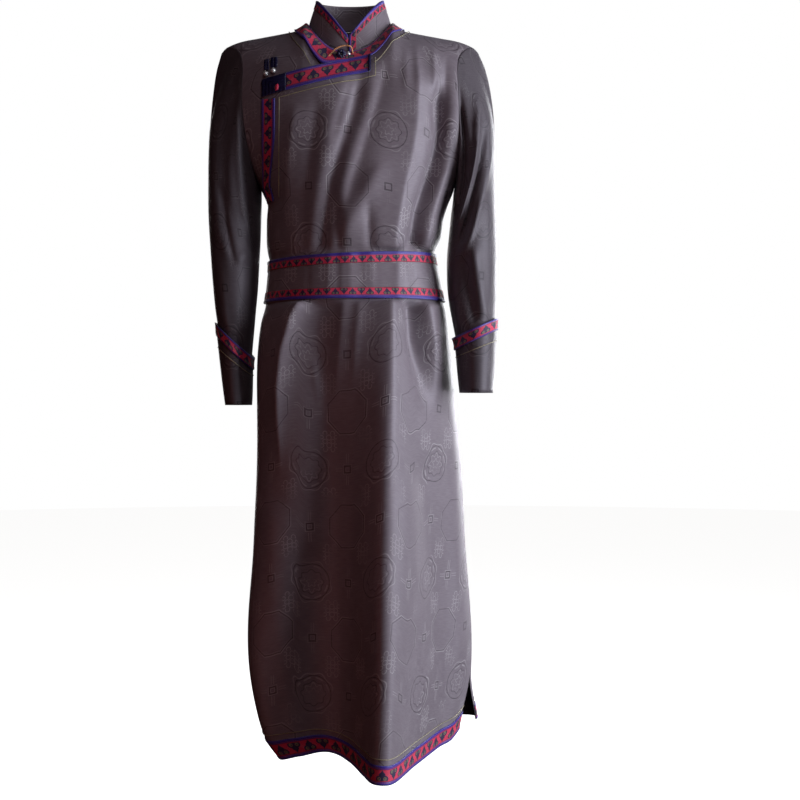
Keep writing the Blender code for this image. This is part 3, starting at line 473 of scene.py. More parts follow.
def levels_to(top):
    """All rows of the columns from the hem to their top levels: an array of rows by columns."""
    top = np.asarray(top, float)
    low = np.repeat(LOW_LEVELS[:, None], len(top), axis=1)
    return np.concatenate([low, CHEST + (top[None, :] - CHEST) * YOKE[:, None]])


def laid_flat(points, middle=0, straight=0):
    """Each point's place on the flat cloth, in metres: along its row from the middle column, and up its
    column from the row that lies straight across the cloth."""
    across = np.linalg.norm(np.diff(points, axis=1), axis=2).cumsum(axis=1)
    across = np.concatenate([np.zeros((len(points), 1)), across], axis=1)
    up = np.linalg.norm(np.diff(points, axis=0), axis=2).cumsum(axis=0)
    up = np.concatenate([np.zeros((1, points.shape[1])), up])
    return np.stack([across - across[:, middle : middle + 1], up - up[straight : straight + 1]], axis=-1)


def sew(name, points, flat, wall, material, joined=False):
    """A piece of cloth from rows and columns of points, with its wall inwards and its place on the bolt."""
    rows, columns = points.shape[0] - 1, points.shape[1] - 1
    deselect()
    bpy.ops.mesh.primitive_grid_add(x_subdivisions=columns, y_subdivisions=rows, size=1.0)
    piece = bpy.context.object
    piece.name = piece.data.name = name
    mesh = piece.data
    place = np.empty(len(mesh.vertices) * 3)
    mesh.vertices.foreach_get("co", place)
    place = place.reshape(-1, 3)
    column = np.rint((place[:, 0] + 0.5) * columns).astype(int)
    row = np.rint((place[:, 1] + 0.5) * rows).astype(int)
    mesh.vertices.foreach_set("co", points[row, column].ravel())
    corner = np.empty(len(mesh.loops), int)
    mesh.loops.foreach_get("vertex_index", corner)
    mesh.uv_layers[0].name = "cloth"
    mesh.uv_layers[0].data.foreach_set("uv", flat[row[corner], column[corner]].ravel())
    if joined:
        bpy.ops.object.mode_set(mode="EDIT")
        bpy.ops.mesh.select_all(action="SELECT")
        bpy.ops.mesh.remove_doubles(threshold=0.00002)
        bpy.ops.object.mode_set(mode="OBJECT")
    mesh.shade_smooth()
    solid = piece.modifiers.new("wall", "SOLIDIFY")
    solid.thickness = wall
    solid.offset = -1.0
    bpy.ops.object.modifier_apply(modifier="wall")
    mesh.materials.append(material)
    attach(piece, "root")
    return piece


class Thread:
    """A socket of a finish. Sums on it add Math nodes."""

    def __init__(self, tree, socket):
        self.tree = tree
        self.socket = socket

    def node(self, kind, settings, values, output=0):
        made = self.tree.nodes.new(kind)
        for name, value in settings.items():
            setattr(made, name, value)
        plug(made, values)
        return Thread(self.tree, made.outputs[output])

    def sum(self, operation, *others):
        return self.node("ShaderNodeMath", {"operation": operation}, dict(enumerate((self, *others))))

    def __add__(self, other):
        return self.sum("ADD", other)

    def __sub__(self, other):
        return self.sum("SUBTRACT", other)

    def __mul__(self, other):
        return self.sum("MULTIPLY", other)

    def __truediv__(self, other):
        return self.sum("DIVIDE", other)

    def __pow__(self, other):
        return self.sum("POWER", other)

    def __rsub__(self, other):
        return self.sum("MULTIPLY", -1.0).sum("ADD", other)

    def __abs__(self):
        return self.sum("ABSOLUTE")

    __radd__ = __add__


def plug(node, values):
    """Give a node's inputs their threads and plain values."""
    for name, value in values.items():
        if isinstance(value, Thread):
            value.tree.links.new(value.socket, node.inputs[name])
        else:
            node.inputs[name].default_value = value


def new_finish(name):
    """A fresh material, its shader, and a loose thread to make nodes from."""
    finish = bpy.data.materials.new(name)
    finish.use_nodes = True
    return finish, finish.node_tree.nodes["Principled BSDF"], Thread(finish.node_tree, None)


def split(place, axis):
    """One axis of a place."""
    return place.node("ShaderNodeSeparateXYZ", {}, {0: place}, output=axis)


def on_cloth(loose):
    """The place on the flat cloth, and its metres along and up."""
    bolt = loose.node("ShaderNodeUVMap", {"uv_map": "cloth"}, {})
    return bolt, split(bolt, 0), split(bolt, 1)


def blend(share, under, over):
    """One colour or thread of colour laid over another."""
    return share.node("ShaderNodeMix", {"data_type": "RGBA"}, {0: share, 6: under, 7: over}, output=2)


def cloudy(place, scale, detail, stretch=(1.0, 1.0, 1.0), dimensions="2D"):
    """Soft noise about 0.5, finer with scale."""
    place = place.node("ShaderNodeMapping", {}, {0: place, 3: stretch})
    values = {"Vector": place, "Scale": scale, "Detail": detail}
    return place.node("ShaderNodeTexNoise", {"noise_dimensions": dimensions}, values)


def relief(height, strength):
    """A surface's bumps, from its height in metres."""
    return height.node("ShaderNodeBump", {}, {"Height": height, "Distance": 1.0, "Strength": strength})


def inked(far, half, soft):
    """1 within half of a line, 0 beyond half and soft."""
    return far.node(
        "ShaderNodeMapRange", {"interpolation_type": "SMOOTHSTEP"},
        {0: far, 1: half, 2: half + soft, 3: 1.0, 4: 0.0},
    )


def repeat(place, pitch):
    """A place's distance from the middle of its own repeat."""
    return (place / pitch).sum("ADD", 0.5).sum("FRACT") * pitch - pitch / 2


def distance(across, up):
    return (across * across + up * up) ** 0.5


FIGURE_WIDE = 0.136
FIGURE_TALL = 0.186
GROUND = (0.150, 0.120, 0.144, 1.0)
FIGURE = (0.300, 0.265, 0.290, 1.0)
# Painted shadow: the dark tone of the shadow lines beside the figures, also laid over the cloth at random as mottle.
SHADE_LINE_AND_MOTTLE = (0.055, 0.040, 0.050, 1.0)
SOFT = 0.0006


def weave_damask(name, depth, shine):
    """Satin ground with figures in duller weave: open octagons, flower roundels, frets between them on
    paired bars, and clusters of cloud curls where four figures meet. Dark lines beside the pale ones are
    painted shadow, and a depth below 1 darkens every tone as painted shade."""
    finish, shader, loose = new_finish(name)
    bolt, u, v = on_cloth(loose)
    # A depth below 1 darkens every tone of the cloth as painted shade.
    ground, figure, shade_and_mottle = (
        [*(channel * depth for channel in tone[:3]), 1.0] for tone in (GROUND, FIGURE, SHADE_LINE_AND_MOTTLE)
    )
    sway = cloudy(bolt, 26.0, 1.0)
    u, v = u + (sway - 0.5) * 0.0016, v + (sway - 0.5) * 0.0012
    x, y = repeat(u, FIGURE_WIDE), repeat(v, FIGURE_TALL)
    x2, y2 = repeat(u + FIGURE_WIDE / 2, FIGURE_WIDE), repeat(v + FIGURE_TALL / 2, FIGURE_TALL)
    wide, tall = abs(x), abs(y)
    eight = wide.sum("MAXIMUM", tall).sum("MAXIMUM", (wide + tall) * 0.7200)
    plate = inked(abs(eight - 0.0365), 0.0006, SOFT) + inked(abs(eight - 0.0325), 0.0002, SOFT) * 0.5
    away = distance(x2, y2)
    angle = x2.sum("ARCTAN2", y2)
    petal = (angle * 8.0).sum("COSINE")
    flower = inked(abs(away - 0.0335 + petal * 0.0018), 0.0006, SOFT)
    flower = flower + inked(abs(away - 0.0265), 0.0008, SOFT) * inked(petal, 0.2, 0.3)
    flower = flower + inked(abs(away - 0.0150 - petal * 0.0030), 0.0006, SOFT)
    flower = flower + inked(abs(away - 0.0068 - (angle * 5.0).sum("COSINE") * 0.0018), 0.0006, SOFT)
    # The quarter of the repeat about any figure's middle, where the frets, bars and curls are the same.
    p, q = wide.sum("MINIMUM", abs(x2)), tall.sum("MINIMUM", abs(y2))
    box = p.sum("MAXIMUM", q)
    fret = inked(abs(box - 0.0072), 0.0007, 0.0005) + inked(abs(box - 0.0035), 0.0005, 0.0005)
    bars = inked(abs(p - 0.0020), 0.0003, 0.0005) * inked(abs(q - 0.0175), 0.0075, SOFT)
    bars = bars + inked(abs(q - 0.0020), 0.0003, 0.0005) * inked(abs(p - 0.0160), 0.0060, SOFT)
    # Each curl: its middle, its radius, and the band of its ring that shows.
    curl = sum(
        inked(abs(distance(p - across, q - up) - radius), 0.0004, SOFT) * inked(band, half, soft)
        for across, up, radius, band, half, soft in (
            (0.0270, 0.0465, 0.0036, q - 0.0460, 0.0008, 0.0008),
            (0.0340, 0.0400, 0.0042, p - 0.0335, 0.0020, 0.0010),
            (0.0215, 0.0395, 0.0030, 0.0215 - p, 0.0012, 0.0010),
            (0.0275, 0.0330, 0.0034, q - 0.0335, 0.0010, 0.0010),
        )
    )
    inside = (inked(eight, 0.0385, 0.0005) + inked(away, 0.0365, 0.0005)).sum("MINIMUM", 1.0)
    lines = (plate + flower + (fret + bars + curl) * (1 - inside)).sum("MINIMUM", 1.0)
    # Painted shadow: dark lines beside the pale lines of the octagons, flowers and frets.
    dark = inked(abs(box - 0.0054), 0.0010, SOFT) * (1 - inside) + inked(abs(eight - 0.0349), 0.0004, SOFT)
    dark = dark + inked(abs(away - 0.0300), 0.0004, 0.0008) + inked(abs(away - 0.0195 - petal * 0.0016), 0.0003, SOFT)
    slub = cloudy(bolt, 1.0, 2.0, (70.0, 460.0, 1.0))
    cloud = cloudy(bolt, 14.0, 4.0)
    tone = blend(lines * (0.12 + ((cloud - 0.42) * 5.0).sum("MAXIMUM", 0.0).sum("MINIMUM", 0.85)), ground, figure)
    tone = blend(dark * 0.95, tone, shade_and_mottle)
    tone = blend((slub - 0.5) * 0.45 + 0.10, tone, figure)
    tone = blend((cloud - 0.35) * 0.35, tone, shade_and_mottle)
    twill = (u * (2 * math.pi / 0.0011) + v * (2 * math.pi / 0.0016)).sum("SINE")
    twill = twill + (v * (2 * math.pi / 0.0009)).sum("SINE")
    plug(shader, {
        "Base Color": tone,
        "Roughness": 0.48 + lines * 0.24 + (slub - 0.5) * 0.16,
        "Normal": relief(twill * 0.00002 + lines * 0.00002 + slub * 0.00008 + cloud * 0.0004, 0.6),
        "Specular IOR Level": shine,
        "Specular Tint": (0.92, 0.84, 0.96, 1.0),
        "Sheen Weight": 0.12,
        "Sheen Roughness": 0.35,
        "Sheen Tint": (0.86, 0.84, 0.95, 1.0),
    })
    return finish


damask = weave_damask("grey mauve silk damask", 1.0, 0.40)
# Painted shade: the sleeves and cuffs take the same damask at 0.43 of its tone, darker than the body's cloth.
shaded_sleeve_damask = weave_damask("grey mauve silk damask darkened for painted shade", 0.43, 0.32)

STRAIGHT_ROW = 112
FRONT_TURNS = steps((-90.0, -86.0, 6), (-86.0, 86.0, 132), (86.0, 90.0, 6))


def outer_front_points(turns, lift=0.0):
    """The outer front's points: its rows end at the slanted breast line on the wearer's right."""
    turn = np.repeat(turns[None, :], len(LOW_LEVELS) + len(YOKE), axis=0)
    top = neck_level(turns)
    level = levels_to(np.full(len(turns), SHOULDER))
    covers = turns < -1e-6
    for _ in range(5):
        drawn = np.where(covers, outer_turn(turns, level), turns)
        x = plain_form(drawn, level)[..., 0]
        meets = level_at_height(drawn, breast_line(x))
        share = np.concatenate([np.zeros(len(LOW_LEVELS)), YOKE])[:, None]
        upper = np.where(covers, CHEST + (meets - CHEST) * share, CHEST + (top - CHEST) * share)
        level = np.where(share > 0, upper, levels_to(top))
    drawn = np.where(covers, outer_turn(turns, level), turns)
    return robe(drawn, level, overlap_lift(drawn) + lift)


points = outer_front_points(FRONT_TURNS)
flat = laid_flat(points, len(FRONT_TURNS) // 2, STRAIGHT_ROW)
outer_front = sew("outer_front_cloth", points, flat, CLOTH, damask)
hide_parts("outer_front")

# ------------------------------------------------------------------------------------------------
# Inner front: the plain panel under the overlap, from the wearer's right side seam to the middle. It shows
# only above the slanted breast line and beside the breast edge; under the overlap it stands a little back.
INNER_DROP = 0.0012
THROAT_DROP = 3.0
INNER_TURNS = steps((-90.0, -86.0, 4), (-86.0, 0.0, 60))
level = levels_to(neck_level(INNER_TURNS))
point = plain_form(INNER_TURNS, level)
covered = ease((INNER_TURNS - outer_turn(-90.0, level) + 6.0) / 8.0)
covered = covered * ease((breast_line(point[..., 0]) + 0.012 - point[..., 2]) / 0.020)
at_throat = ease((level - CHEST + 0.02) / 0.03) * ease(1.5 + INNER_TURNS / 14.0)
points = robe(INNER_TURNS, level, -INNER_DROP * np.maximum(covered, THROAT_DROP * at_throat))
flat = laid_flat(points, len(INNER_TURNS) - 1, STRAIGHT_ROW)
inner_front = sew("inner_front_cloth", points, flat, CLOTH, damask)
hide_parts("inner_front")

# ------------------------------------------------------------------------------------------------
# Back: one panel from seam to seam, joined to the fronts along the shoulders and sides. It hangs free
# below the belt in long soft folds.
BACK_TURNS = steps((90.0 + TINY, 94.0, 6), (94.0, 266.0, 132), (266.0, 270.0 - TINY, 6))
points = robe(BACK_TURNS, levels_to(neck_level(BACK_TURNS)))
back = sew("back_cloth", points, laid_flat(points, len(BACK_TURNS) // 2, STRAIGHT_ROW), CLOTH, damask)
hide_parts("back")

# ------------------------------------------------------------------------------------------------
# Sleeves: each is cut in one piece, seamed under the arm and set into the armhole. It hangs down
# beside the body with long pulls from the shoulder and small creases inside the elbow.
Section = namedtuple("Section", "length outer outer_z inner inner_z middle_y half_depth")
LEFT_SLEEVE = rows(
    Section,
    (0, 0.2180, -0.031, 0.1760, -0.265, 0.000, 0.068),
    (1, 0.2300, -0.060, 0.1745, -0.283, -0.001, 0.068),
    (2, 0.2390, -0.100, 0.1720, -0.303, -0.003, 0.067),
    (3, 0.2445, -0.150, 0.1695, -0.327, -0.006, 0.065),
    (4, 0.2450, -0.205, 0.1670, -0.351, -0.010, 0.063),
    (5, 0.2450, -0.260, 0.1645, -0.377, -0.014, 0.061),
    (6, 0.2465, -0.315, 0.1640, -0.404, -0.018, 0.059),
    (7, 0.2475, -0.365, 0.1650, -0.433, -0.021, 0.057),
    (8, 0.2470, -0.415, 0.1680, -0.460, -0.024, 0.055),
    (9, 0.2460, -0.455, 0.1730, -0.488, -0.027, 0.053),
    (10, 0.2450, -0.485, 0.1780, -0.514, -0.028, 0.051),
    (11, 0.2440, -0.505, 0.1815, -0.534, -0.029, 0.050),
    (12, 0.2390, -0.608, 0.1870, -0.608, -0.030, 0.048),
)
RIGHT_SLEEVE = rows(
    Section,
    (0, 0.2180, -0.031, 0.1500, -0.265, 0.000, 0.068),
    (1, 0.2265, -0.062, 0.1500, -0.284, -0.001, 0.068),
    (2, 0.2320, -0.100, 0.1505, -0.304, -0.003, 0.067),
    (3, 0.2365, -0.150, 0.1510, -0.328, -0.006, 0.065),
    (4, 0.2385, -0.205, 0.1515, -0.353, -0.010, 0.063),
    (5, 0.2385, -0.260, 0.1525, -0.380, -0.014, 0.061),
    (6, 0.2375, -0.312, 0.1535, -0.408, -0.018, 0.059),
    (7, 0.2340, -0.365, 0.1550, -0.437, -0.021, 0.057),
    (8, 0.2300, -0.417, 0.1575, -0.467, -0.024, 0.055),
    (9, 0.2255, -0.462, 0.1605, -0.505, -0.027, 0.053),
    (10, 0.2210, -0.494, 0.1640, -0.545, -0.028, 0.051),
    (11, 0.2190, -0.515, 0.1650, -0.565, -0.029, 0.050),
    (12, 0.2060, -0.6285, 0.1660, -0.6285, -0.030, 0.047),
)
CUFF_SECTION = 10
SLEEVE_TWIST_FADE = 3.5
SLEEVE_SHORT_OF_CUFF = 0.08
CUFF_PROUD_TOP = 0.0040
CUFF_PROUD_FOOT = 0.0022
CUFF_SWELL = 0.0005
# Sleeve creases: from one place to another, each (how far down the arm in sections, how far round in
# degrees from the underarm by the front), with its half-width in degrees and height.
Crease = namedtuple("Crease", "down round_1 down_2 round_2 wide height")
LEFT_CREASES = rows(
    Crease,
    (-0.2, 66.0, 2.3, 38.0, 11.0, 0.0080),
    (-0.2, 107.0, 3.0, 56.0, 9.5, -0.0090),
    (1.8, 128.0, 4.1, 55.0, 9.0, 0.0085),
    (2.6, 124.0, 5.2, 63.0, 9.0, -0.0085),
    (3.8, 138.0, 5.9, 80.0, 12.0, 0.0060),
    (6.2, 66.0, 9.7, 84.0, 13.0, -0.0050),
    (6.4, 90.0, 9.7, 112.0, 10.0, 0.0050),
    (7.4, 44.0, 9.6, 40.0, 11.0, 0.0030),
    (1.0, 236.0, 5.4, 262.0, 16.0, -0.0042),
    (3.6, 288.0, 5.4, 250.0, 12.0, 0.0038),
    (6.0, 216.0, 9.6, 246.0, 15.0, 0.0034),
)
RIGHT_CREASES = rows(
    Crease,
    (0.9, 122.0, 4.8, 100.0, 14.0, -0.0042),
    (1.4, 152.0, 6.4, 124.0, 13.0, 0.0038),
    (1.0, 88.0, 4.2, 54.0, 12.0, 0.0034),
    (4.4, 112.0, 6.6, 82.0, 10.0, -0.0038),
    (5.4, 44.0, 6.6, 78.0, 9.0, 0.0032),
    (7.0, 128.0, 9.6, 108.0, 14.0, 0.0030),
    (1.2, 228.0, 5.0, 254.0, 15.0, 0.0040),
    (4.2, 292.0, 6.0, 258.0, 12.0, -0.0036),
    (6.6, 226.0, 9.6, 240.0, 15.0, -0.0030),
)
CREASE_END = 0.5
CREASE_FADE = 0.9
CREASES_FROM = 0.8
CREASES_END = 2.6
CREASES_FADE = 1.2
ARMHOLE_LEVELS = CHEST - (CHEST - ARMPIT) * np.sin(np.radians(np.linspace(90.0, 3.0, 36)))


def armhole(side):
    """The armhole's points round from the armpit, up the front and down the back, for a left sleeve."""
    top = CHEST + (SHOULDER - CHEST) * np.concatenate([[0.0], YOKE[::2], YOKE[-1:]])
    levels = np.concatenate([ARMHOLE_LEVELS, np.unique(top)])
    front_turn, back_turn = (90.0, 90.0 + TINY) if side > 0 else (-90.0, 270.0 - TINY)
    points = np.concatenate([robe(front_turn, levels), robe(back_turn, levels[:-1][::-1])])
    points[0] = points[-1] = (points[0] + points[-1]) / 2
    points[:, 0] += side * SEAM
    return points


def arm_point(sections, side, loop, length, lift, creases=()):
    """Points round a sleeve at lengths counted in sections: an array of lengths by spokes."""
    length, lift = np.asarray(length, float)[:, None], np.asarray(lift, float)[:, None]
    first = sections[0]
    middle, reach = (first.outer_z + first.inner_z) / 2, (first.outer_z - first.inner_z) / 2
    angle = np.arccos(np.clip((middle - loop[:, 2]) / reach, -1.0, 1.0))
    half = np.arange(len(loop)) > (len(loop) - 1) / 2
    angle = np.where(half, 2 * math.pi - angle, angle)
    angle[0] = 0.0
    angle[-1] = 2 * math.pi
    folds = np.zeros((len(length), len(loop)))
    for crease in creases:
        share = np.clip((length - crease.down) / (crease.down_2 - crease.down), 0.0, 1.0)
        middle_line = crease.round_1 + (crease.round_2 - crease.round_1) * share
        shown = ease((length - crease.down + CREASE_END) / CREASE_FADE)
        shown = shown * ease((crease.down_2 + CREASE_END - length) / CREASE_FADE)
        folds = folds + crease.height * shown * np.exp(-(((np.degrees(angle) - middle_line) / crease.wide) ** 2))
    folds = folds * ease(length / CREASES_FROM) * ease((len(sections) - CREASES_END - length) / CREASES_FADE)

    def oval(row, extra):
        arm_x, arm_z = (row["outer"] - row["inner"]) / 2, (row["outer_z"] - row["inner_z"]) / 2
        long = np.hypot(arm_x, arm_z)
        arm_x, arm_z = arm_x * (1 + extra / long), arm_z * (1 + extra / long)
        x = side * ((row["outer"] + row["inner"]) / 2 - arm_x * np.cos(angle))
        y = row["middle_y"] - (row["half_depth"] + extra) * np.sin(angle)
        z = (row["outer_z"] + row["inner_z"]) / 2 - arm_z * np.cos(angle)
        return np.stack(np.broadcast_arrays(x, y, z), axis=-1)

    here = {column: along(sections, column, length) for column in Section._fields[1:]}
    start = oval(first._asdict(), 0.0)
    fade = ease(1.0 - length / SLEEVE_TWIST_FADE)[..., None]
    return oval(here, lift + folds) + (loop[None] - start) * fade


ARMS = (("left", LEFT_SLEEVE, 1.0), ("right", RIGHT_SLEEVE, -1.0))


def sleeve_cloth(name, sections, side, lengths, lifts, creases=()):
    """A tube of damask round an arm, cut between the given lengths."""
    loop = armhole(side)
    points = arm_point(sections, side, loop, lengths, lifts, creases)[::-1]
    if side < 0:
        points = points[:, ::-1]
    # Painted shade: sleeves and cuffs are sewn in the darker copy of the damask.
    return sew(name, points, laid_flat(points, len(loop) // 2), CLOTH, shaded_sleeve_damask, joined=True)


SLEEVE_ROWS = steps((0.0, 1.0, 10), (1.0, 10.0, 84), (10.0, 11.0, 6), (11.0, 12.0 - SLEEVE_SHORT_OF_CUFF, 6))
for (word, sections, side), creases in zip(ARMS, (LEFT_CREASES, RIGHT_CREASES)):
    sleeve = sleeve_cloth("sleeve_cloth_" + word, sections, side, SLEEVE_ROWS, np.zeros(len(SLEEVE_ROWS)), creases)
    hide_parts("sleeve_" + word)

# ------------------------------------------------------------------------------------------------
# Cuffs: a band of the same damask turned back over each sleeve's end, cut on a slant so that it rises
# to a point on the outer side.
CUFF_ROWS = steps((CUFF_SECTION, CUFF_SECTION + 1.0, 10), (CUFF_SECTION + 1.0, CUFF_SECTION + 2.0, 16))
below_fold = np.clip(CUFF_ROWS - CUFF_SECTION - 1.0, 0.0, 1.0)
lifts = CUFF_PROUD_TOP + (CUFF_PROUD_FOOT - CUFF_PROUD_TOP) * below_fold + CUFF_SWELL * np.sin(np.pi * below_fold)
for word, sections, side in ARMS:
    cuff = sleeve_cloth("cuff_cloth_" + word, sections, side, CUFF_ROWS, lifts)
    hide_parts("cuff_" + word)
    "sleeve_" + word

# ------------------------------------------------------------------------------------------------
# Collar: a stiffened stand collar of damask, sewn to the neck opening, its front ends meeting in a low V.
COLLAR_TOP_HALF = 0.0575
COLLAR_TOP_FRONT = 0.0680
COLLAR_TOP_BACK = 0.0480
COLLAR_V = -0.0190
COLLAR_V_RISE = 0.0760
COLLAR_BACK_RISE = 0.0050
COLLAR_PARTING = 0.0006
COLLAR_STAND = 0.0010
COLLAR_TRIM = 0.015
COLLAR_SWELL = 0.0008
NECK_SHARE = NECK_HALF / SHOULDER_TIP
FRONT_HALF = np.degrees(np.arcsin(NECK_SHARE * np.sin(np.radians(np.linspace(0.0, 90.0, 41)))))
COLLAR_TURNS = np.concatenate([FRONT_HALF, 180.0 - FRONT_HALF[::-1], 180.0 + FRONT_HALF[1:], -FRONT_HALF[::-1]])


def collar_point(up, lift=0.0):
    """Points round the collar. up is 0 at the seam and 1 at the top edge."""
    foot = robe(COLLAR_TURNS, neck_level(COLLAR_TURNS)) + np.array((0.0, 0.0, COLLAR_STAND))
    ahead = np.cos(np.radians(COLLAR_TURNS)) > 0.0
    angle = np.arctan2(foot[:, 0] / NECK_HALF, -foot[:, 1] / np.where(ahead, NECK_FRONT, NECK_BACK))
    deep = np.where(ahead, COLLAR_TOP_FRONT, COLLAR_TOP_BACK)
    rise = np.where(ahead, COLLAR_V_RISE * np.abs(np.sin(angle)), COLLAR_V_RISE - COLLAR_BACK_RISE * np.cos(angle))
    top = np.stack([COLLAR_TOP_HALF * np.sin(angle), -deep * np.cos(angle), COLLAR_V + rise], axis=-1)
    out = np.stack([np.sin(angle), -np.cos(angle), np.zeros(len(angle))], axis=-1)
    point = foot + (top - foot) * np.asarray(up)[..., None] + out * np.asarray(lift)[..., None]
    point[..., 0, 0] = COLLAR_PARTING
    point[..., -1, 0] = -COLLAR_PARTING
    return point


points = np.stack([
    collar_point(up, COLLAR_SWELL * math.sin(math.pi * max(up, 0.0))) for up in np.linspace(-0.02, 1.0, 14)
])
collar = sew("collar_cloth", points, laid_flat(points, len(COLLAR_TURNS) // 2), CLOTH, damask)
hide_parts("collar")

# ------------------------------------------------------------------------------------------------
# Sash: a stiff belt of damask wound once round the waist over the overlap, its end lying over its start
# at the centre back.
BELT_WALL = 0.0020
RIBBON = 0.0010
BELT_TRIM = 0.018
NECK_TURN = math.degrees(math.asin(NECK_SHARE))
BELT_TURNS = steps((-180.0 - NECK_TURN, -180.0 + NECK_TURN, 20), (-180.0 + NECK_TURN, 180.0 - NECK_TURN, 200),
                   (180.0 - NECK_TURN, 180.0 + NECK_TURN, 20))
BELT_CREASE = 0.0785
BELT_CREASE_HEIGHT = 0.0042
BELT_SWELL = 0.0006
BELT_ROWS = 18
# Small upright puckers of the sash, each (degrees round, half-width in degrees, height).
PUCKERS = (
    (-71.0, 2.6, 0.0009), (-58.0, 1.8, -0.0008), (-43.0, 3.1, 0.0007), (-27.5, 1.6, -0.0006), (-13.0, 1.3, 0.0008),
    (-6.5, 1.5, -0.0010), (2.0, 1.7, 0.0009), (8.5, 1.2, -0.0008), (15.0, 1.6, 0.0008), (39.0, 1.4, -0.0007),
    (47.0, 2.0, 0.0008), (64.0, 2.4, -0.0009), (118.0, 2.2, 0.0008), (141.0, 3.0, -0.0009), (163.0, 2.0, 0.0007),
    (-118.0, 2.7, -0.0008), (-139.0, 1.9, 0.0008), (-158.0, 2.6, -0.0007),
)


def belt_ring(level, lift):
    """Points round the belt at a level. Its end stands off where it lies over its start."""
    turn = np.where(BELT_TURNS < -90.0, BELT_TURNS + 360.0, BELT_TURNS)
    over = (BELT_WALL + RIBBON + 3 * SEAM) * ease((BELT_TURNS - (180.0 - NECK_TURN) + 6.0) / 6.0)
    point = plain_form(turn, level)
    front = np.abs(BELT_TURNS) < 90.0
    off = point[..., 0] - BELT_CREASE
    keen = BELT_CREASE_HEIGHT * np.exp(-np.abs(off) / np.where(off > 0.0, 0.040, 0.012)) * front
    for middle, half, height in PUCKERS:
        keen = keen + height * np.exp(-(((BELT_TURNS - middle) / half) ** 2)) * ease((level - BELT_FOOT) / 0.02)
    return point + outward(turn, level) * (overlap_lift(turn) + over + lift + keen)[..., None]


points = np.stack([
    belt_ring(level, BELT_WALL + SEAM + BELT_SWELL * math.sin(math.pi * row / BELT_ROWS))
    for row, level in enumerate(np.linspace(BELT_FOOT, BELT_TOP, BELT_ROWS + 1))
])
belt = sew("belt_cloth", points, laid_flat(points, len(BELT_TURNS) // 2), BELT_WALL, damask)
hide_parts("belt")

# ------------------------------------------------------------------------------------------------
# Wide trims: a red woven ribbon with navy hearts and gold-green curls, set between rolled bindings of
# royal blue satin and sewn flat along the neck, the breast line, the breast edge, the cuffs and the hem.
TRIM = 0.029
RED_HALF = 0.0105
MOTIF = 0.0235
RED = (0.560, 0.018, 0.072, 1.0)
RED_LIGHT = (0.620, 0.085, 0.140, 1.0)
WINE = (0.110, 0.005, 0.014, 1.0)
NAVY = (0.010, 0.007, 0.050, 1.0)
ROYAL = (0.036, 0.022, 0.260, 1.0)
CURL_GOLD = (0.190, 0.150, 0.085, 1.0)
CURL_GREEN = (0.075, 0.100, 0.080, 1.0)
HEART = 1.28
ROLL = 0.0006


def weave_ribbon(name, inner_edge):
    """The ribbon's finish. Its place on the cloth is metres along, and metres across from the red's middle."""
    finish, shader, loose = new_finish(name)
    bolt, u, v = on_cloth(loose)
    s = repeat(u, MOTIF) / HEART
    flip = ((u / MOTIF + 0.5).sum("FLOOR") / 2.0).sum("FRACT") * 4.0 - 1.0
    t = v * flip / HEART
    side = abs(s)
    lobe = distance(side - 0.0038, t - 0.0040)
    curl = inked(lobe, 0.0020, 0.0005)
    seed = inked(distance(side - 0.0032, t - 0.0037), 0.0005, 0.0004)
    arm = inked(abs(lobe - 0.0033), 0.00080, 0.0004) * inked(t - 0.0062, 0.0, 0.0010)
    spade = inked(distance(side - 0.0016, t + 0.0012), 0.0024, 0.0004)
    tip = inked(side / 0.0040 + (-0.0008 - t) / 0.0068, 0.95, 0.12) * inked(t + 0.0008, 0.0, 0.0004)
    stem = inked(side, 0.0008, 0.0004) * inked(abs(t - 0.0030), 0.0036, 0.0006)
    navy = (arm + spade + tip + stem).sum("MINIMUM", 1.0)
    wave = abs(v + (u * (math.pi / MOTIF)).sum("COSINE") * 0.0058)
    wave = inked(abs(wave - 0.0017), 0.0003, 0.0005)
    tone = blend(wave * 0.75, RED, RED_LIGHT)
    tone = blend(navy, tone, NAVY)
    tone = blend(curl, tone, blend((s / 0.004 + 0.5).sum("FRACT"), CURL_GOLD, CURL_GREEN))
    tone = blend(seed, tone, NAVY)
    outer = inked(RED_HALF - v, 0.0, 0.0003)
    inner = inked(v + RED_HALF, 0.0, 0.0003)
    tone = blend(outer, tone, ROYAL)
    tone = blend(inner, tone, inner_edge)
    line = inked(abs(abs(v) - RED_HALF + 0.0006), 0.0003, 0.0003) * inked(outer + inner, 0.0, 0.5)
    tone = blend(line * 0.8, tone, WINE)
    stitch = inked(abs(abs(v) - RED_HALF - 0.0012), 0.0002, 0.0002) * inked(abs(repeat(u, 0.0030)), 0.0009, 0.0003)
    tone = blend(stitch * 0.7, tone, RED_LIGHT)
    ribs = (u * (2 * math.pi / 0.0007)).sum("SINE")
    fuzz = cloudy(bolt, 1.0, 2.0, (900.0, 900.0, 1.0))
    tone = blend((fuzz - 0.45) * 0.55, tone, WINE)
    plug(shader, {
        "Base Color": tone,
        "Roughness": 0.62 - outer * 0.20 - inner * 0.16 + (fuzz - 0.5) * 0.2,
        "Normal": relief(ribs * 0.00003 + (navy + curl + wave) * 0.00012 + fuzz * 0.0001, 0.7),
        "Sheen Weight": 0.25,
        "Sheen Roughness": 0.4,
    })
    return finish


wide_ribbon = weave_ribbon("red ribbon between blue bindings", ROYAL)
narrow_ribbon = weave_ribbon("red ribbon bound on one edge", WINE)


def rolled(share, binding):
    """How far a trim's surface stands up at a share of its width, with a rolled binding at each edge."""
    edge = np.minimum(share, 1.0 - share) / binding
    return ROLL * np.sqrt(np.clip(1.0 - (edge - 0.5) ** 2 / 0.3, 0.0, 1.0)) * (edge < 1.05)


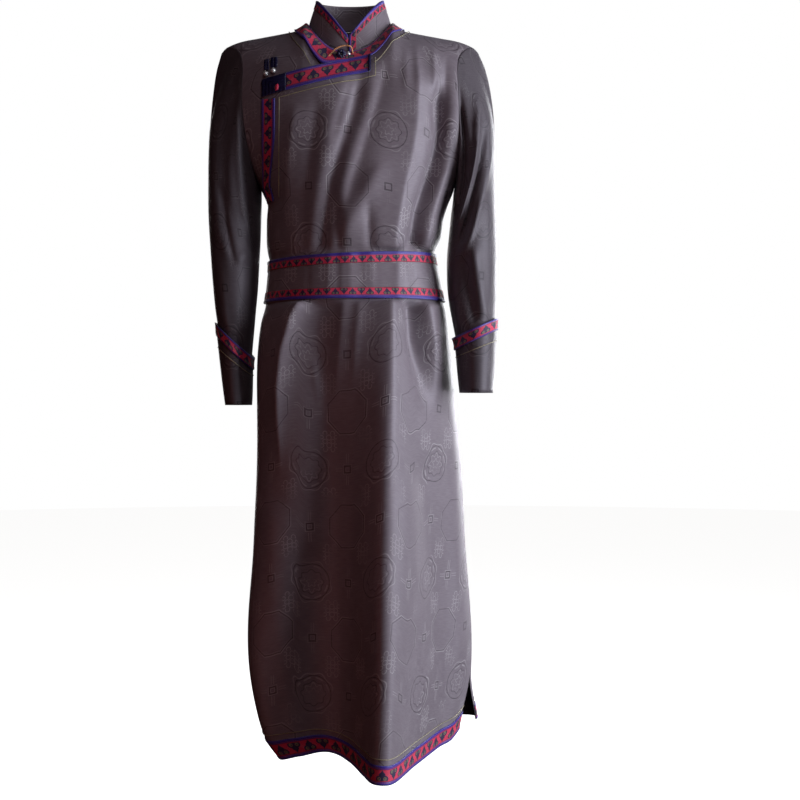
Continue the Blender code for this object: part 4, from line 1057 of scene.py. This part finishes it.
def on_ribbon(points, red_middle, scale=1.0, long_scale=1.0):
    """Each point's place on a ribbon laid along the columns, from the red's middle row share."""
    middle = points.shape[0] // 2
    along_it = np.linalg.norm(np.diff(points[middle], axis=0), axis=1).cumsum()
    along_it = np.concatenate([[0.0], along_it]) * long_scale
    up = np.linalg.norm(np.diff(points, axis=0), axis=2).mean(axis=1).cumsum() * scale
    up = np.concatenate([[0.0], up])
    up = up - red_middle * up[-1]
    return np.stack(np.broadcast_arrays(along_it[None, :], up[:, None]), axis=-1)


def sew_trim(name, node, points, flat, material=wide_ribbon, joined=False):
    """A ribbon sewn on, which stands for a node and hides its part."""
    piece = sew(name, points, flat, RIBBON, material, joined)
    if node:
        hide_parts(node)


ACROSS = np.linspace(0.0, 1.0, 15)
BINDING = 0.14

# Hem, in two lengths that part at the left side slit.
HEM_TRIM = 0.030
levels = HEM + HEM_TRIM * ACROSS
lift = SEAM + RIBBON + rolled(ACROSS, BINDING)[:, None]
points = robe(FRONT_TURNS[None, :], levels[:, None], overlap_lift(FRONT_TURNS)[None, :] + lift)
sew_trim("hem_ribbon_front", "hem_trim_front", points, on_ribbon(points, 0.5))
points = robe(BACK_TURNS[None, :], levels[:, None], lift)
sew_trim("hem_ribbon_back", "hem_trim_back", points, on_ribbon(points, 0.5))

# Neck, round the seam of the collar.
NECK_TRIM_SIDE = 0.0190
NECK_TRIM_FRONT = 0.0135
NECK_TRIM_BACK = 0.0153
NECK_TRIM_CORNER = 0.0120
NECK_TRIM_LEAST = 0.010
NECK_TRIM_LIFT = 0.0027
BREAST_BAND_END = 0.0365


def over_yoke(x, y, lift):
    """A point over the shoulders, seen from above at x and y."""
    x, y = np.broadcast_arrays(x, y)

    def turn(level):
        return np.where(y < 0, turn_at(x, level), 180.0 - turn_at(x, level))

    level = bisect(
        lambda level: np.abs(plain_form(turn(level), level)[..., 1]) > np.abs(y), x.shape, CHEST, SHOULDER, 26
    )
    return robe(turn(level), level, lift)


NECK_TURNS = np.linspace(0.0, 360.0, 181)
NECK_ANGLE = np.radians(NECK_TURNS)
NECK_AHEAD = np.cos(NECK_ANGLE) >= 0.0


def neck_out(wide, lift):
    """Points round the neck at widths out from the collar's foot."""
    deep = np.where(NECK_AHEAD, NECK_FRONT, NECK_BACK)
    near_front = np.exp(-(((NECK_TURNS + 180.0) % 360.0 - 180.0 - 4.0) / 24.0) ** 2)
    x, y = (NECK_HALF + wide) * np.sin(NECK_ANGLE), -(deep + wide) * np.cos(NECK_ANGLE)
    return over_yoke(x, y, NECK_TRIM_LIFT + OVERLAP * near_front + lift)


# In front the ribbon is as wide as the others and runs down to the breast line, whose ribbon cuts it off.
along_it = np.where(NECK_AHEAD, NECK_TRIM_FRONT, NECK_TRIM_BACK)
along_it = along_it + (NECK_TRIM_SIDE - along_it) * np.abs(np.sin(NECK_ANGLE))
corner = NECK_TRIM_CORNER * np.where(np.sin(NECK_ANGLE) > 0.0, 0.8, 1.7)
widest = along_it + np.where(NECK_AHEAD, corner * np.abs(np.cos(NECK_ANGLE)) ** 1.2, 0.0)


def above_line(wide):
    """Where the neck's ribbon, this wide, ends above the breast line's ribbon or beyond its end."""
    edge = neck_out(wide, 0.0)
    past_end = edge[:, 0] > BREAST_BAND_END + 0.004
    return ~NECK_AHEAD | (edge[:, 2] > breast_line(edge[:, 0]) + 0.0004) | past_end


neck_full = bisect(above_line, widest.shape, NECK_TRIM_LEAST, widest, 14)
neck_full = np.convolve(np.concatenate([neck_full[-3:-1], neck_full, neck_full[1:3]]), np.full(5, 0.2), "valid")


def neck_ring(share, lift):
    """Points round the neck at a share of the trim's width out from the collar."""
    return neck_out(neck_full * (0.08 + 0.92 * share), lift)


points = np.stack([neck_ring(1.0 - share, rolled(share, BINDING)) for share in ACROSS])
sew_trim("neck_ribbon", "neck_trim", points, on_ribbon(points, 0.5, 1.12), joined=True)


def on_front(x, z, lift):
    """A point over the outer front, seen from the front at x and z."""
    x, z = np.broadcast_arrays(np.asarray(x, float), np.asarray(z, float))
    turn = turn_at(x, np.full(x.shape, CHEST))
    for _ in range(5):
        level = level_at_height(turn, z)
        turn = turn_at(x, level)
    return robe(turn, level, lift)


# Breast line and breast edge, over the overlap.
CORNER_END = -0.100
SIDE_BAND = 0.0225
SIDE_BAND_FOOT = -0.290
SIDE_BAND_HEAD = -0.1288
BAND_ROOM = 0.0004
BAND_INSET = 0.0005
BAND_OVER = OVERLAP + SEAM + RIBBON + BAND_ROOM


def band_height(x, share):
    """The height of a place on the breast line's band, at a share of its width up from its lower edge."""
    return breast_line(x) - TRIM * (1.0 - share) - BAND_INSET


xs = np.linspace(CORNER_END, BREAST_BAND_END, 111)
z = band_height(xs[None, :], ACROSS[:, None])
points = on_front(xs[None, :], z, BAND_OVER + rolled(ACROSS, BINDING)[:, None])
sew_trim("breast_line_ribbon", "chest_band", points, on_ribbon(points, 0.5))

levels = steps((SIDE_BAND_FOOT, ARMPIT, 14), (ARMPIT, CHEST, 60), (CHEST, SIDE_BAND_HEAD, 1))
edge = outer_turn(-90.0, levels)
shown = SIDE_BAND * (1.0 - 0.42 * ease((-0.180 - levels) / 0.100))
inner = turn_at(plain_form(edge, levels)[:, 0] + shown, levels)
turns = edge[:, None] + (inner - edge)[:, None] * ACROSS[None, :]
points = robe(turns, levels[:, None], BAND_OVER + rolled(ACROSS, 0.17)[None, :])
flat = on_ribbon(points.transpose(1, 0, 2), 0.5, 1.3).transpose(1, 0, 2)
sew_trim("breast_edge_ribbon", "side_band", points, flat)

# Cuffs, along the slanted edge.
SLANT_ROOM = 0.0008
lengths = CUFF_SECTION + 1.0 - ACROSS
for word, sections, side in ARMS:
    loop = armhole(side)
    over = CUFF_PROUD_TOP + SEAM + RIBBON + SLANT_ROOM + rolled(ACROSS, BINDING)
    points = arm_point(sections, side, loop, lengths, over)
    if side < 0:
        points = points[:, ::-1]
    flat = on_ribbon(points, 0.47, 1.42)
    sew_trim("cuff_ribbon_" + word, "cuff_trim_" + word, points, flat, joined=True)

# ------------------------------------------------------------------------------------------------
# Narrow trims: the same weave at two thirds the width, bound in blue on its outer edge only, along the
# collar's top and both edges of the sash.
tall = np.linalg.norm(collar_point(1.0) - collar_point(0.0), axis=1)
points = np.stack([
    collar_point(1.0 - (1.0 - share) * COLLAR_TRIM / tall, 2 * SEAM + RIBBON + rolled(share, 0.3) * (share > 0.5))
    for share in ACROSS
])
flat = on_ribbon(points, 0.31, 2.25, 2.0)
sew_trim("collar_ribbon", "collar_trim", points, flat, narrow_ribbon)

for word, low, high, blue_up in (
    ("foot", BELT_FOOT, BELT_FOOT + BELT_TRIM, False), ("top", BELT_TOP - BELT_TRIM, BELT_TOP, True)
):
    shares = ACROSS if blue_up else 1.0 - ACROSS
    roll = rolled(shares, 0.24) * (shares > 0.5)
    points = np.stack([
        belt_ring(low + (high - low) * share, BELT_WALL + 2 * SEAM + RIBBON + up) for share, up in zip(ACROSS, roll)
    ])
    flat = on_ribbon(points, 0.34 if blue_up else 0.66, 1.75, 1.66)
    if not blue_up:
        flat = flat * np.array((1.0, -1.0))
    sew_trim("sash_ribbon_" + word, "belt_trim_" + word, points, flat, narrow_ribbon)

# ------------------------------------------------------------------------------------------------
# Gold braid: a fine twisted cord of gold and teal thread couched along each wide trim, about 9 mm off.
BRAID = 0.0007
BRAID_GAP = 0.0090
BRAID_TWIST = 0.0016


def spin_braid():
    finish, shader, loose = new_finish("gold and teal braid")
    place = loose.node("ShaderNodeTexCoord", {}, {}, output=3)
    slant = split(place, 0) * 1.3 + split(place, 1) * 1.1 + split(place, 2) * 1.7
    twist = (slant * (2 * math.pi / BRAID_TWIST)).sum("SINE") * 0.5 + 0.5
    plug(shader, {
        "Base Color": blend(twist, (0.180, 0.200, 0.200, 1.0), (0.480, 0.370, 0.200, 1.0)),
        "Normal": relief(twist * 0.0002, 0.8),
        "Roughness": 0.42,
        "Metallic": 0.25,
    })
    return finish


braid = spin_braid()


def couch(name, line, material, thick=BRAID, closed=False):
    """A round cord laid along a line of points."""
    curve = bpy.data.curves.new(name, "CURVE")
    curve.dimensions = "3D"
    curve.bevel_depth = thick
    curve.bevel_resolution = 2
    curve.use_fill_caps = not closed
    spline = curve.splines.new("POLY")
    spline.points.add(len(line) - 1)
    spline.points.foreach_set("co", np.concatenate([line, np.ones((len(line), 1))], axis=1).ravel())
    spline.use_cyclic_u = closed
    cord = bpy.data.objects.new(name, curve)
    bpy.context.scene.collection.objects.link(cord)
    deselect()
    cord.select_set(True)
    bpy.context.view_layer.objects.active = cord
    bpy.ops.object.convert(target="MESH")
    cord = bpy.context.object
    cord.name = cord.data.name = name
    cord.data.materials.append(material)
    cord.data.shade_smooth()
    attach(cord, "root")
    return cord


HEM_BRAID = HEM + HEM_TRIM + BRAID_GAP
couch("hem_braid_front", robe(FRONT_TURNS, HEM_BRAID, overlap_lift(FRONT_TURNS) + BRAID), braid)
couch("hem_braid_back", robe(BACK_TURNS, HEM_BRAID, BRAID), braid)
ring = neck_out(neck_full + BRAID_GAP, BRAID - 0.0020)[:-1]
hidden = NECK_AHEAD[:-1] & (ring[:, 2] < breast_line(ring[:, 0]) + 0.0012) & (ring[:, 0] < BREAST_BAND_END + 0.006)
start = int(np.flatnonzero(hidden & ~np.roll(hidden, -1))[0]) + 1
ring = np.roll(ring, -start, axis=0)[: int((~hidden).sum())]
couch("neck_braid", ring, braid)
# Down beside the breast edge, along under the breast line, and up past the line's end.
below = TRIM + BRAID_GAP
edge_x, end_x = -0.1115, BREAST_BAND_END + 0.0085
foot_z, head_z = -0.286, breast_line(end_x) - 0.006
xs = np.concatenate([np.full(60, edge_x), np.linspace(edge_x, end_x, 90)[1:], np.full(24, end_x)])
zs = np.concatenate([
    np.linspace(foot_z, breast_line(edge_x) - below, 60),
    breast_line(xs[60:-24]) - below,
    np.linspace(breast_line(end_x) - below, head_z, 25)[1:],
])
couch("breast_braid", on_front(xs, zs, OVERLAP + BRAID), braid)
for word, sections, side in ARMS:
    ring = arm_point(sections, side, armhole(side), [CUFF_SECTION + 1.22], [CUFF_PROUD_TOP - 0.0004 + BRAID])[0]
    couch("cuff_braid_" + word, ring[:-1], braid, closed=True)

# The collar's ribbon turns down its left front end.
END_SHARES = np.linspace(0.0, 1.0, 13)
end_columns = [collar_point(up, 2 * SEAM + RIBBON + 0.0004)[:9] for up in np.linspace(0.03, 0.97, 13)]
points = np.stack([
    np.stack([[np.interp(x, column[:, 0], column[:, axis]) for axis in range(3)] for column in end_columns])
    for x in np.linspace(0.0130, 0.0006, 13)
])
points[:, :, 1] -= (rolled(END_SHARES, 0.3) * (END_SHARES > 0.5))[:, None]
sew_trim("collar_end_ribbon", None, points, on_ribbon(points, 0.36, 2.0, 1.6), narrow_ribbon)

# ------------------------------------------------------------------------------------------------
# Closures: a corner of doubled navy tape where the bands meet, folded round a scrap of red ribbon; two
# tape tabs with silver ball buttons; at the throat a knotted cord button, a silver bead and a gold loop.
CORNER_LIFT = 0.0008
CORNER_PUFF = 0.0014
BALL = 0.0043
TAB_WALL = 0.0020
TAB_LIFT = 0.0019
TAPE = 0.0058
Tab = namedtuple("Tab", "x ball_z foot head half")
TABS = (
    Tab(-0.1340, -0.0850, -0.0785, -0.0600, 0.0042),
    Tab(-0.1215, -0.0812, -0.0745, -0.0570, 0.0060),
)
NECK_DROP = np.array((0.0, 0.0, -0.0055))
KNOT = np.array((0.0085, 0.0042, 0.0085))
BEAD = 0.0038
TAPE_ROLL = 0.0009
TAB_ROLL = 0.0008
SCRAP_WALL = 0.0012
SCRAP_SWELL = 0.0016
KNOT_CORD = 0.0019
PLY = 0.0008
PLY_TWIST = 0.0042
PLY_OFF = 0.0006
LOOP_Y = -0.0835
LOOP_BOW = ((-0.0205, -0.0435), (-0.0085, -0.0385), (0.0035, -0.0395))
TAPE_BLUE = (0.012, 0.009, 0.070, 1.0)
TAPE_NIGHT = (0.003, 0.003, 0.018, 1.0)


def plain_finish(name, dark, light, scale, rough, metal, rise):
    """A finish that wanders between two tones, with a fine grain."""
    finish, shader, loose = new_finish(name)
    place = loose.node("ShaderNodeTexCoord", {}, {}, output=3)
    grain = cloudy(place, scale, 3.0, dimensions="3D")
    plug(shader, {
        "Base Color": blend(inked(grain, 0.38, 0.25), light, dark),
        "Roughness": grain * 0.3 + (rough - 0.15),
        "Normal": relief(grain * rise, 0.6),
        "Metallic": metal,
    })
    return finish


satin_tape = plain_finish("navy satin tape", TAPE_NIGHT, TAPE_BLUE, 900.0, 0.42, 0.0, 0.0002)
silver = plain_finish("brushed silver", (0.42, 0.42, 0.45, 1.0), (0.88, 0.88, 0.90, 1.0), 700.0, 0.30, 0.55, 0.00005)
gold_cord = plain_finish(
    "orange gold cord", (0.48, 0.17, 0.07, 1.0), (0.95, 0.52, 0.26, 1.0), 1100.0, 0.40, 0.15, 0.0002
)


def patch(rows, columns, start=0.0):
    """Shares down and across a small piece of tape, from start to 1."""
    return np.meshgrid(np.linspace(start, 1.0, rows), np.linspace(start, 1.0, columns), indexing="ij")


def tape_roll(off):
    """The rounded back of each doubled tape at a distance from the first tape's edge."""
    return TAPE_ROLL * np.sqrt(np.clip(1.0 - (2.0 * ((off / TAPE) % 1.0) - 1.0) ** 2, 0.0, 1.0))


down, over = patch(37, 49)
x = OVERLAP_EDGE + (CORNER_END - SEAM - OVERLAP_EDGE) * over
z = band_height(x, down)
mitre = np.minimum(x - OVERLAP_EDGE, TRIM * (1.0 - down) * 1.3)
puff = CORNER_PUFF * np.sin(np.pi * over) * np.sin(np.pi * down)
points = on_front(x, z, BAND_OVER + CORNER_LIFT + puff + tape_roll(mitre) - 0.0003)
corner = sew("corner_of_folded_tape", points, laid_flat(points), RIBBON + CORNER_LIFT, satin_tape)
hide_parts("corner_knot")

down, over = patch(13, 13, -1.0)
x = -0.1140 + 0.0034 * over * (1.0 - 0.45 * np.abs(down))
z = -0.1105 + 0.0050 * down + 0.0008 * over
swell = SCRAP_SWELL * (1.0 - np.maximum(down**2, over**2))
points = on_front(x, z, BAND_OVER + CORNER_LIFT + CORNER_PUFF + swell + 0.0006)
flat = laid_flat(points) * 0.6 + np.array((0.0085, 0.0020))
scrap = sew("corner_ribbon_scrap", points, flat, SCRAP_WALL, wide_ribbon)


def as_one(name, parts, material):
    """Several finished parts as one piece."""
    deselect()
    for part in parts:
        part.select_set(True)
    bpy.context.view_layer.objects.active = parts[0]
    bpy.ops.object.join()
    piece = bpy.context.object
    bpy.ops.object.transform_apply(location=True, rotation=True, scale=True)
    piece.name = piece.data.name = name
    piece.data.materials.clear()
    piece.data.materials.append(material)
    piece.data.shade_smooth()
    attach(piece, "root")
    return piece


def bead(name, seat, radius, material):
    """A hollow ball of two domes with a beaded seam round it and a collar at its hole."""
    deselect()
    bpy.ops.mesh.primitive_uv_sphere_add(segments=28, ring_count=18, radius=radius, location=seat)
    parts = [bpy.context.object]
    hole = seat + Vector((0.0, 0.0, radius * 0.92))
    for major, minor, around, place, tilt in (
        (0.985, 0.07, 28, seat, (0.35, 0.25, 0.0)), (0.34, 0.12, 16, hole, (0.0, 0.0, 0.0))
    ):
        bpy.ops.mesh.primitive_torus_add(
            major_radius=radius * major, minor_radius=radius * minor, major_segments=around, minor_segments=6,
            location=place, rotation=tilt,
        )
        parts.append(bpy.context.object)
    return as_one(name, parts, material)


for number, tab in enumerate(TABS, 1):
    down, over = patch(21, 21)
    over = 2.0 * over - 1.0
    x = tab.x + tab.half * over * (1.0 - 0.10 * (2.0 * down - 1.0) ** 2)
    z = tab.foot + (tab.head - tab.foot) * down
    pair = TAB_ROLL * np.sqrt(np.clip(1.0 - (2.0 * np.abs(over) - 1.0) ** 2, 0.0, 1.0))
    fold = 0.0009 * np.exp(-(((1.0 - down) / 0.14) ** 2)) + 0.0003 * np.sin(down * 9.0 * math.pi) * (down < 0.8)
    points = on_front(x, z, TAB_LIFT + pair + fold)
    tape = sew(f"tape_tab_{number}", points, laid_flat(points), TAB_WALL, satin_tape)
    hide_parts(f"corner_tab_{number}")
    ball = bead(f"silver_ball_{number}", Vector(on_front(tab.x, tab.ball_z, BALL - INNER_DROP / 2)), BALL, silver)
    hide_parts(f"corner_ball_{number}")


def over_trim(x, z, lift):
    """A place over the neck ribbon, a little lower than its seat on the plain form."""
    return on_front(x, z, lift + SEAM + NECK_TRIM_LIFT + OVERLAP) + NECK_DROP


neck_bead = bead("neck_silver_bead", Vector(over_trim(0.0015, -0.0530, 0.0036)), BEAD, silver)
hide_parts("neck_bead")

# The button is one cord wound in a closed knot, twice round with five turns over each edge.
wind = np.linspace(0.0, 2 * math.pi, 181)[:-1]
rise = 0.95 * np.sin(5 * wind)
out = 0.80 + 0.06 * np.cos(10 * wind)
turn = np.stack([np.cos(rise) * np.cos(2 * wind), 1.4 * np.sin(rise), np.cos(rise) * np.sin(2 * wind)], axis=-1)
seat = over_trim(-0.0125, -0.0560, 0.0061)
line = seat + turn * out[:, None] * (KNOT - 0.0006)
knot = couch("neck_cord_button", line, satin_tape, thick=KNOT_CORD, closed=True)
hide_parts("neck_knot")


def smooth_line(points, parts):
    """Points on a smooth curve through the given ones."""
    points = np.array(points)
    whole = np.concatenate([2 * points[:1] - points[1:2], points, 2 * points[-1:] - points[-2:-1]])
    fine = []
    for a, b, c, d in zip(whole, whole[1:], whole[2:], whole[3:]):
        for t in np.arange(parts) / parts:
            fine.append(b + ((c - a) + ((2 * a - 5 * b + 4 * c - d) + (3 * b - a - 3 * c + d) * t) * t) * t / 2)
    return np.array([*fine, points[-1]])


route = [over_trim(-0.0330, -0.0560, 0.0007), over_trim(-0.0290, -0.0520, 0.0032)]
route += [np.array((x, LOOP_Y, z)) for x, z in LOOP_BOW]
route += [over_trim(0.0085, -0.0500, 0.0045), over_trim(0.0090, -0.0545, 0.0007)]
line = smooth_line(route, 24)
run = np.concatenate([[0.0], np.linalg.norm(np.diff(line, axis=0), axis=1).cumsum()])
ahead = np.gradient(line, axis=0)
ahead /= np.linalg.norm(ahead, axis=1, keepdims=True)
side = np.cross(ahead, (0.0, 1.0, 0.0))
side /= np.linalg.norm(side, axis=1, keepdims=True)
face = np.cross(ahead, side)
plies = []
for start in (0.0, math.pi):
    spin = (start + run * 2 * math.pi / PLY_TWIST)[:, None]
    ply = line + (side * np.cos(spin) + face * np.sin(spin)) * PLY_OFF
    plies.append(couch("ply", ply, gold_cord, thick=PLY))
loop = as_one("neck_loop_of_two_plies", plies, gold_cord)
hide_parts("neck_loop")

# A rolled satin end closes the breast line's ribbon.
down, over = patch(21, 9)
x = BREAST_BAND_END - 0.0032 + 0.0045 * over
z = band_height(x, down)
points = on_front(x, z, BAND_OVER + RIBBON + 0.0009 * np.sin(np.pi * np.clip(over * 0.9 + 0.05, 0.0, 1.0)))
band_end = sew("breast_line_end", points, laid_flat(points), 0.0009, satin_tape)
